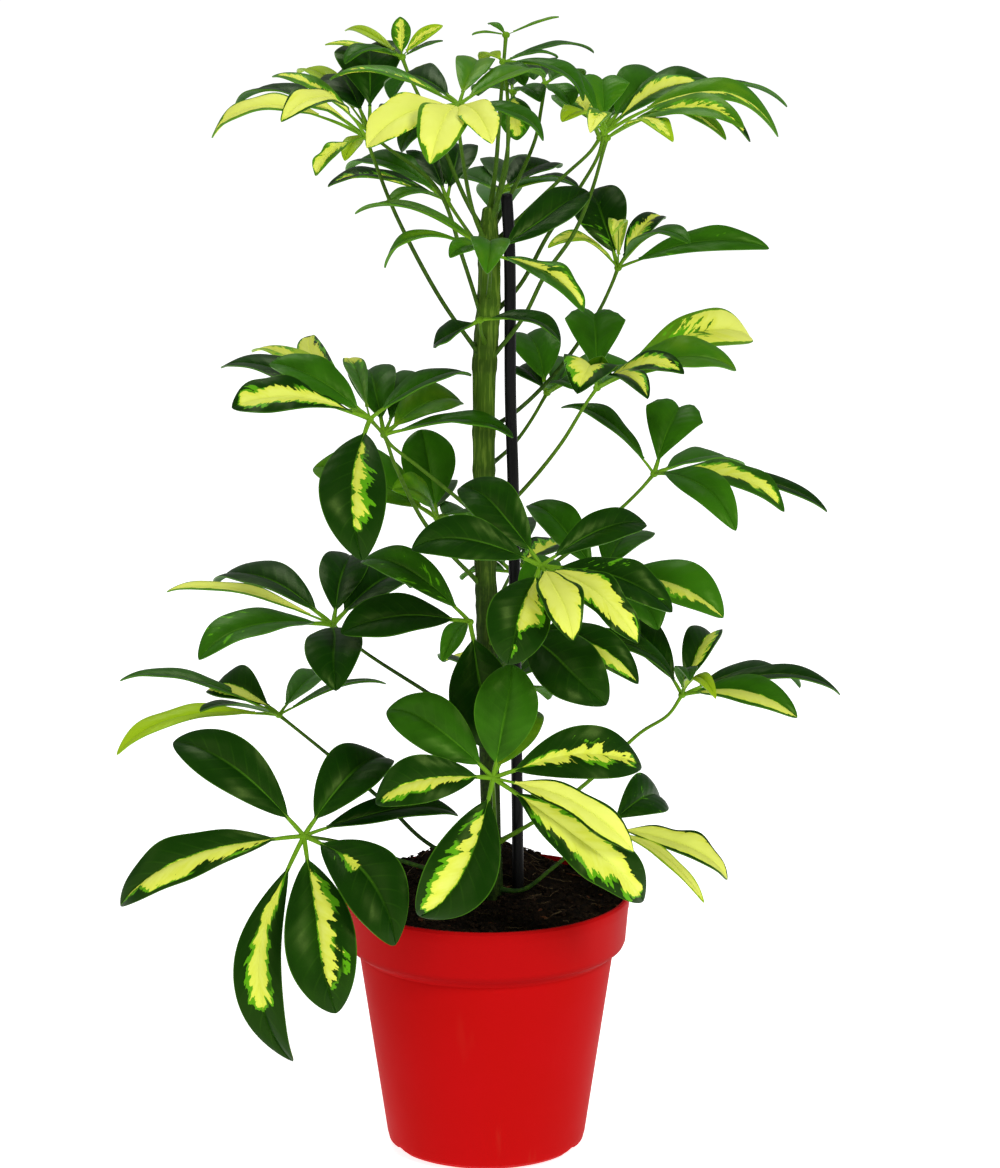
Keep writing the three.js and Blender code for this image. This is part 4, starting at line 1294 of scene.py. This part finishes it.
def heart_shape(across: np.ndarray, along: np.ndarray, stalk: float) -> tuple[np.ndarray, np.ndarray]:
    """A blade with a broad end of two rounded lobes and a shallow notch between them.

    Args:
        across: places across the blade, from -1 to 1.
        along: places along the blade, from 0 to 1.
        stalk: the little stalk's share of the midrib.

    Returns:
        The width at each point, as a share of the widest, and the point's place on the midrib.
    """
    width = np.clip(np.sin(np.pi * (0.86 * along) ** 1.6), 0, 1) ** 0.7
    out = np.abs(across)
    pulled = 0.12 * (1 - out) ** 1.5 + 0.36 * (1 - np.sqrt(1 - np.clip(out * 1.5 - 0.5, 0, 1) ** 2))
    back = along - pulled * np.clip((along - 0.5) / 0.5, 0, 1) ** 2
    return width, stalk + (1 - stalk) * back


@dataclass
class Foliage:
    """Models the compound leaves: blades, little stalks, the hub and the long stalk."""

    stem: MainStem
    fullness: float = 0.72
    thickness: float = 0.62
    narrowest: float = 0.9
    usual_width: float = 25.0
    cup: float = 0.09
    frill: float = 0.55
    scallop: float = 0.11
    vein_relief: float = 0.11
    veins: int = 9
    vein_slant: float = 0.2
    groove: float = 0.3
    groove_half: float = 0.07
    sway: float = 0.012
    waves: Pair = (1.6, 2.7)
    tones: Pair = (-0.05, 0.08)
    twist: float = 7.0
    stalk_radius: float = 1.1
    petiole_radius: float = 0.8
    foot_swell: float = 1.1
    hub_swell: float = 0.35
    hub_radius: float = 1.8
    hub_height: float = 0.85
    hub_tone: float = 0.9
    stalk_rows: int = 22
    petiole_rows: int = 40
    sharp: float = 50.0

    def __post_init__(self) -> None:
        """Makes the blanks and the finishes."""
        self.blade = blade_blank()
        self.stalk = bar_blank("stalk_bar", 8, self.stalk_rows)
        self.petiole = bar_blank("petiole_bar", 10, self.petiole_rows)
        self.knob = knob_blank()
        self.faces = [LeafFinish().material(under) for under in (False, True)]
        self.stalk_finish = StalkFinish().material()

    def clear(self) -> None:
        """Takes the blanks away."""
        removed(self.blade, self.stalk, self.petiole, self.knob)

    def make_blade(self, rib: Midrib, draw: random.Random) -> Piece:
        """One leaflet's blade as a sheet on its midrib.

        Args:
            rib: the leaflet's midrib.
            draw: where the random numbers come from.

        Returns:
            The blade.
        """
        leaflet, stalk = rib.leaflet, rib.leaf.stalk
        at = points_of(self.blade)
        across, along = -at[:, 0], at[:, 1]
        out, rising = np.abs(across), np.sin(np.pi * along)
        if leaflet.heart:
            width, share = heart_shape(across, along, stalk)
        else:
            width = np.clip(np.sin(np.pi * along**leaflet.skew), 0, 1) ** self.fullness
            share = stalk + (1 - stalk) * along
        half = np.maximum(leaflet.width / 2 * width, self.narrowest * np.clip(1 - along * 9, 0, 1))
        fold, size = math.radians(leaflet.fold), leaflet.width / self.usual_width
        seed = draw.uniform(0, 80)
        phase, waves = draw.uniform(0, math.tau), draw.uniform(*self.waves)
        frill = np.sin(math.tau * waves * along + phase * np.sign(across))
        half = half * (1 + self.scallop * (leaflet.wave - 1) * frill * rising)
        rise = half * (out * math.sin(fold) + self.cup * np.sin(np.pi * out))
        rise += self.frill * leaflet.wave * size * out**2 * width * frill
        veins = np.cos(math.tau * self.veins * (along - self.vein_slant * out))
        rise -= self.vein_relief * size * veins * np.minimum(out * 4, 1) * width * (1 - out**4)
        rise -= self.groove * size * np.exp(-((out / self.groove_half) ** 2)) * width
        bend = np.sin(math.tau * along)
        sway = self.sway * rib.length * draw.uniform(-1, 1) * bend * np.minimum(share * 2, 1)
        twist = math.radians(draw.uniform(-self.twist, self.twist)) * along
        reach = across * half * math.cos(fold)
        cos, sin = np.cos(twist), np.sin(twist)
        reach, rise = reach * cos - rise * sin, reach * sin + rise * cos
        where = rib.point(share) + rib.side * (reach + sway)[:, None] + rib.up(share) * rise[:, None]
        gold = gold_field(leaflet, rib.side, across, along)
        tone = leaflet.tone.value + draw.uniform(*self.tones) + 0.25 * np.clip(0.14 - along, 0, 1) * 4
        return copy_of(self.blade, where, gold=gold, tone=np.clip(tone, 0, 1), seed=seed)

    def make_little_stalk(self, rib: Midrib) -> Piece:
        """The little stalk from the hub, which runs on under the blade as its raised midrib.

        Args:
            rib: the leaflet's midrib.

        Returns:
            The little stalk.
        """
        stalk = rib.leaf.stalk
        run = np.linspace(0, 1, self.stalk_rows + 1) ** 1.2
        share = run * (stalk + 0.72 * (1 - stalk))
        under = np.clip((share - stalk * 0.6) / 0.15, 0, 1)
        size = min(1.0, rib.leaflet.width / 22)
        radii = self.stalk_radius * size * (1 - 0.25 * under) * (1 - 0.78 * run**1.5)
        radii[0] = self.stalk_radius * 1.3
        line = rib.point(share) - rib.up(share) * (under * (radii * 0.75 + 0.1))[:, None]
        at = points_of(self.stalk)
        return copy_of(self.stalk, carried(self.stalk, line, radii), tone=0.95 - 0.25 * at[:, 2])

    def make_long_stalk(self, leaf: Leaf, hub: np.ndarray) -> Piece:
        """The long stalk from the hub down to the stem, with a swollen foot.

        Args:
            leaf: the leaf.
            hub: where its leaflets meet.

        Returns:
            The long stalk.
        """
        foot = self.stem.at_row(leaf.joins)
        line = through([hub, *(VIEW.seen_at(*place) for place in leaf.petiole), foot], self.petiole_rows + 1)
        inside = self.stem.radius_at(foot[2]) * 0.35
        away = np.maximum(np.linalg.norm(line - foot, axis=1) - inside, 0)
        gap = np.linalg.norm(line - hub, axis=1)
        swell = 0.92 + 0.3 * np.clip(gap / 60, 0, 1)
        swell = swell + self.foot_swell * np.exp(-away / 5) + self.hub_swell * np.exp(-gap / 4)
        ring = np.rint(points_of(self.petiole)[:, 2] * self.petiole_rows).astype(int)
        where = carried(self.petiole, line, self.petiole_radius * swell)
        return copy_of(self.petiole, where, tone=leaf.stalk_tone + 0.42 * np.exp(-gap / 22)[ring])

    def build(self, leaf: Leaf, draw: random.Random) -> None:
        """Models one compound leaf as one piece.

        Args:
            leaf: the leaf.
            draw: where the random numbers come from.
        """
        hub = VIEW.seen_at(*leaf.hub)
        ribs = [Midrib(hub, leaflet, leaf) for leaflet in leaf.leaflets]
        blades = fused(leaf.name + "_blades", [self.make_blade(rib, draw) for rib in ribs])
        edit(blades, close_up)
        dress(blades, *self.faces)
        sheet = {"thickness": self.thickness * MM, "offset": 0.0, "material_offset": 1}
        finished(blades, "SOLIDIFY", **sheet, use_quality_normals=True)
        knob_size = (self.hub_radius, self.hub_radius, self.hub_radius * self.hub_height)
        knob = copy_of(self.knob, hub + points_of(self.knob) * knob_size, tone=self.hub_tone)
        green = fused("stalks", [self.make_long_stalk(leaf, hub), *map(self.make_little_stalk, ribs), knob])
        dress(green, self.stalk_finish)
        whole = fused(leaf.name + "_grown", [blades, green])
        smooth(whole, self.sharp)
        keep(whole, "leaf", leaf.name)


# ---- pot


@dataclass(frozen=True)
class NurseryPot:
    """The round pot: radii and heights in millimetres."""

    outer: tuple[Pair, ...] = (
        (0.01, 0), (12, 0), (13.4, 1.4), (32.6, 1.4), (34, 0), (38.5, 0), (42.5, 1.6), (44.4, 3.4),
        (45.2, 6.5), (57.45, 90.2), (57.2, 91.3), (57.7, 92.3), (59.6, 93.5), (62.4, 95.6), (63.2, 97.4),
        (64.5, 112.6), (64.75, 113.2), (65.0, 117.8), (64.5, 119),
    )
    inner: tuple[Pair, ...] = (
        (63.4, 119), (62.9, 117.8), (61.6, 97.8), (56.3, 93.3), (44.13, 10.5), (37.5, 4.4), (0.01, 4.4),
    )
    steps: int = 160
    cutter_sides: int = 40
    notch_bearings: tuple[float, ...] = (90, 208, 332)
    notch_half_width: float = 7.0
    notch_height: float = 4.2
    notch_depth: float = 9.0
    notch_middle: float = 41.5
    drains: int = 6
    drain_radius: float = 3.2
    drain_ring: float = 23.0
    drain_depth: float = 16.0
    floor: float = 4.4
    rounding: float = 0.45
    rounded_from: float = 24.0
    sharp: float = 40.0

    def cutter(self, radius: float, depth: float, place: Place, lying: bool, bearing: float) -> Piece:
        """A round cutter.

        Args:
            radius: its radius.
            depth: its length.
            place: its middle before it is turned round the pot's axis.
            lying: whether it points outwards and is flattened to a notch, and not upright.
            bearing: how far it is turned round the pot's axis, in degrees.

        Returns:
            The cutter.
        """
        size = {"radius": radius * MM, "depth": depth * MM}
        piece = started("cutter", bpy.ops.mesh.primitive_cylinder_add, vertices=self.cutter_sides, **size)
        if lying:
            piece.data.transform(Matrix.Rotation(math.pi / 2, 4, "Y"))
            flat = self.notch_height / self.notch_half_width
            edit(piece, lambda: bpy.ops.transform.resize(value=(1, 1, flat), center_override=(0, 0, 0)))
        piece.data.transform(Matrix.Translation(Vector(place) * MM))
        piece.data.transform(Matrix.Rotation(math.radians(bearing), 4, "Z"))
        return piece

    def build(self) -> None:
        """Models the pot, with its notched foot and its drain holes."""
        pot = lathed("nursery_pot", [*self.outer, *self.inner], self.steps)
        notch = (self.notch_half_width, self.notch_depth, (self.notch_middle, 0, 0), True)
        drain = (self.drain_radius, self.drain_depth, (self.drain_ring, 0, self.floor), False)
        cutters = [self.cutter(*notch, bearing) for bearing in self.notch_bearings]
        cutters += [self.cutter(*drain, 360 * (hole + 0.25) / self.drains) for hole in range(self.drains)]
        for cutter in cutters:
            finished(pot, "BOOLEAN", operation="DIFFERENCE", object=cutter, solver="EXACT")
            removed(cutter)
        angle = math.radians(self.rounded_from)
        edges = {"limit_method": "ANGLE", "angle_limit": angle, "harden_normals": False}
        finished(pot, "BEVEL", width=self.rounding * MM, segments=3, **edges)
        fused("nursery_pot", [pot])
        smooth(pot, self.sharp)
        dress(pot, PotFinish().material())
        keep(pot, "pot_plastic", "pot")


# ---- peat


@dataclass(frozen=True)
class Peat:
    """The peat that fills the pot, with crumbs, bark bits and root fibres on it."""

    brim: float = 116.2
    heap: float = 18.0
    heap_x: float = -6.0
    heap_y: float = 38.0
    heap_spread: float = 34.0
    heap_end: float = 62.0
    heap_fall: int = 6
    lump: float = 0.7
    clump: float = 1.5
    clump_scale: float = 0.16
    top_radius: float = 61.2
    rings: int = 44
    wall: tuple[Pair, ...] = (
        (61.9, 114.4), (60.2, 102), (55.6, 92.5), (43.9, 11.5), (36.5, 4.8), (0.01, 4.8),
    )
    steps: int = 150
    crumbs: int = 1900
    crumb_sizes: Pair = (0.5, 1.5)
    crumb_flat: float = 0.75
    bark_bits: int = 46
    bark_sizes: Pair = (0.7, 1.7)
    bark_flat: float = 0.4
    lean: float = 0.45
    uneven: float = 0.25
    rough: float = 0.22
    fibres: int = 70
    fibre_joints: int = 13
    fibre_lengths: Pair = (4, 17)
    fibre_radii: Pair = (0.14, 0.34)
    fibre_bend: float = 0.22
    fibre_ring: float = 56.0
    fibre_end: float = 60.5
    fibre_sharp: float = 60.0
    sharp: float = 35.0
    seed: int = 4711
    dark: Colour = (0.0028, 0.002, 0.0014)
    brown: Colour = (0.0145, 0.008, 0.0047)
    crumb_brown: Colour = (0.03, 0.017, 0.01)
    bark: tuple[Colour, Colour] = ((0.05, 0.014, 0.006), (0.16, 0.06, 0.03))
    straw: tuple[Colour, Colour] = ((0.035, 0.022, 0.01), (0.13, 0.09, 0.05))

    def height(self, x: float, y: float) -> float:
        """The peat's height at a place, in millimetres.

        Args:
            x: the place in X.
            y: the place in Y.

        Returns:
            The height.
        """
        edge = 1 - (math.hypot(x, y) / self.heap_end) ** self.heap_fall
        away = math.hypot(x - self.heap_x, y - self.heap_y) / self.heap_spread
        lumps = math.sin(x * 0.41 + 1.3) * math.cos(y * 0.37) + math.sin((x + y) * 0.23)
        return self.brim + self.heap * edge * math.exp(-(away**2)) + self.lump * lumps

    def clumps(self, x: float, y: float) -> float:
        """How far the clumps stand over that height, in millimetres."""
        return self.clump * noise.fractal(Vector((x, y, 3.0)) * self.clump_scale, 0.6, 2.2, 4)

    def body(self) -> Piece:
        """The filling, spun from its outline, with a clumpy top.

        Returns:
            The piece.
        """
        top = [(radius, self.brim) for radius in np.linspace(0.01, self.top_radius, self.rings)]
        peat = lathed("peat_filling", [*top, *self.wall], self.steps)
        for point in peat.data.vertices:
            x, y, z = point.co / MM
            if z > self.brim - 0.5:
                edge = min(1.0, (self.top_radius + 0.6 - math.hypot(x, y)) / 3)
                point.co.z = (self.height(x, y) + self.clumps(x, y) * edge) * MM
        return fused("peat_filling", [peat])

    def grains(self, name: str, count: int, sizes: Pair, flat: float, draw: random.Random) -> Piece:
        """Loose bits that lie on the peat, as one piece.

        Args:
            name: the piece's name.
            count: how many bits.
            sizes: the smallest and the largest radius.
            flat: how flat and long they are; 1 is round.
            draw: where the random numbers come from.

        Returns:
            The piece.
        """
        blank = started("grain_blank", bpy.ops.mesh.primitive_ico_sphere_add, subdivisions=1, radius=1.0)
        shape = points_of(blank)
        corners = np.array([list(face.vertices) for face in blank.data.polygons])
        removed(blank)
        points, faces = [], []
        for _ in range(count):
            x, y = self.place_within(self.top_radius * 0.985, draw)
            size = draw.uniform(*sizes) * (0.6 + 0.8 * draw.random() ** 3)
            uneven = [draw.uniform(1 - self.uneven, 1 + self.uneven) for _ in range(3)]
            stretch = np.array([size * (1 + (1 - flat) * 2), size, size * flat]) * uneven
            turn, lean = draw.uniform(0, 6.3), draw.gauss(0, self.lean)
            turned = np.array(Matrix.Rotation(turn, 3, "Z") @ Matrix.Rotation(lean, 3, "X"))
            bits = shape * (1 + self.rough * np.array([[draw.uniform(-1, 1)] for _ in shape]))
            ground = self.height(x, y) + self.clumps(x, y)
            faces.append(corners + len(shape) * len(points))
            points.append((bits * stretch) @ turned.T + (x, y, ground + size * 0.3 * flat))
        mesh = bpy.data.meshes.new(name)
        mesh.from_pydata((np.concatenate(points) * MM).tolist(), [], np.concatenate(faces).tolist())
        return linked(name, mesh)

    def place_within(self, radius: float, draw: random.Random) -> Pair:
        """A random place on the peat, less than this radius from the pot's axis."""
        bearing, out = draw.uniform(0, math.tau), radius * math.sqrt(draw.random())
        return out * math.cos(bearing), out * math.sin(bearing)

    def root_fibres(self, draw: random.Random) -> Piece:
        """Thin roots and straws that lie across the peat.

        Args:
            draw: where the random numbers come from.

        Returns:
            The piece.
        """
        gaps = self.fibre_joints - 1
        blank = bar_blank("fibre_bar", 5, gaps)
        made = []
        for _ in range(self.fibres):
            x, y = self.place_within(self.fibre_ring, draw)
            turn = draw.uniform(0, math.tau)
            line, reach = [], draw.uniform(*self.fibre_lengths) / gaps
            for _ in range(self.fibre_joints):
                line.append((x, y, self.height(x, y) + 1.1 + draw.uniform(-0.1, 0.5)))
                turn += draw.gauss(0, self.fibre_bend)
                x, y = x + reach * math.cos(turn), y + reach * math.sin(turn)
                if math.hypot(x, y) > self.fibre_end:
                    turn, x, y = turn + math.pi, x * 0.97, y * 0.97
            radii = np.linspace(1, 0.45, self.fibre_joints) * draw.uniform(*self.fibre_radii)
            made.append(copy_of(blank, carried(blank, np.array(line), radii)))
        removed(blank)
        return fused("peat_fibres", made)

    def build(self) -> None:
        """Models the filling and what lies on it."""
        draw = random.Random(self.seed)
        peat = self.body()
        crumbs = self.grains("peat_crumbs", self.crumbs, self.crumb_sizes, self.crumb_flat, draw)
        bark = self.grains("bark_bits", self.bark_bits, self.bark_sizes, self.bark_flat, draw)
        fibres = self.root_fibres(draw)
        smooth(peat, self.sharp)
        smooth(fibres, self.fibre_sharp)
        for piece, nodes, finish in (
            (peat, ["soil"], PeatFinish("moist_peat", self.dark, self.brown)),
            (crumbs, [], PeatFinish("peat_crumb", self.dark, self.crumb_brown, 420.0)),
            (bark, [], PeatFinish("bark", *self.bark, 500.0)),
            (fibres, [], PeatFinish("root_fibre", *self.straw, 300.0)),
        ):
            dress(piece, finish.material())
            keep(piece, "peat", *nodes)


# ---- studio


@dataclass(frozen=True)
class Studio:
    """A pale floor and soft lights: [place, size, power] in metres and watts."""

    key: tuple[Place, float, float] = ((1.3, -1.9, 1.9), 0.8, 37.0)
    fill: tuple[Place, float, float] = ((-1.9, -1.6, 1.0), 1.6, 9.0)
    top: tuple[Place, float, float] = ((-0.3, 0.7, 2.3), 1.2, 17.0)
    aim: Place = (0.0, 0.0, 0.26)
    sky: float = 0.26
    floor_size: float = 14.0
    floor_grey: float = 0.9
    floor_glow: float = 0.82

    def lamp(self, name: str, place: Place, size: float, power: float) -> None:
        """Hangs one soft light.

        Args:
            name: its name.
            place: where it hangs.
            size: its width.
            power: its power.
        """
        data = bpy.data.lights.new(name, "AREA")
        data.shape, data.size, data.energy = "DISK", size, power
        lamp = linked(name, data)
        lamp.location = place
        lamp.rotation_mode = "QUATERNION"
        lamp.rotation_quaternion = (Vector(self.aim) - Vector(place)).to_track_quat("-Z", "Y")

    def build(self) -> None:
        """Sets the floor, the sky and the lights."""
        floor = started("studio_floor", bpy.ops.mesh.primitive_plane_add, size=self.floor_size)
        glow = {"Emission_Color": (1.0, 1.0, 1.0), "Emission_Strength": self.floor_glow}
        dress(floor, Graph("pale_floor").done((self.floor_grey,) * 3, 1.0, 0.0, **glow))
        world = bpy.data.worlds.new("studio_sky")
        world.use_nodes = True
        colour, strength = world.node_tree.nodes["Background"].inputs[:2]
        colour.default_value, strength.default_value = (1.0, 1.0, 1.0, 1.0), self.sky
        bpy.context.scene.world = world
        for name, lamp in (("key", self.key), ("fill", self.fill), ("top", self.top)):
            self.lamp(name, *lamp)
        bpy.context.scene.view_settings.view_transform = "Standard"


def main() -> None:
    """Builds the plant piece by piece."""
    logging.basicConfig(level=logging.INFO, format="%(message)s")
    VIEW.make_camera()
    Studio().build()
    stem = MainStem()
    foliage = Foliage(stem)
    for number, leaf in enumerate(LEAVES):
        foliage.build(leaf, random.Random(LEAF_SEED + number))
    foliage.clear()
    stem.build([leaf.joins for leaf in LEAVES])
    Stake().build()
    NurseryPot().build()
    Peat().build()


if __name__ == "__main__":
    main()
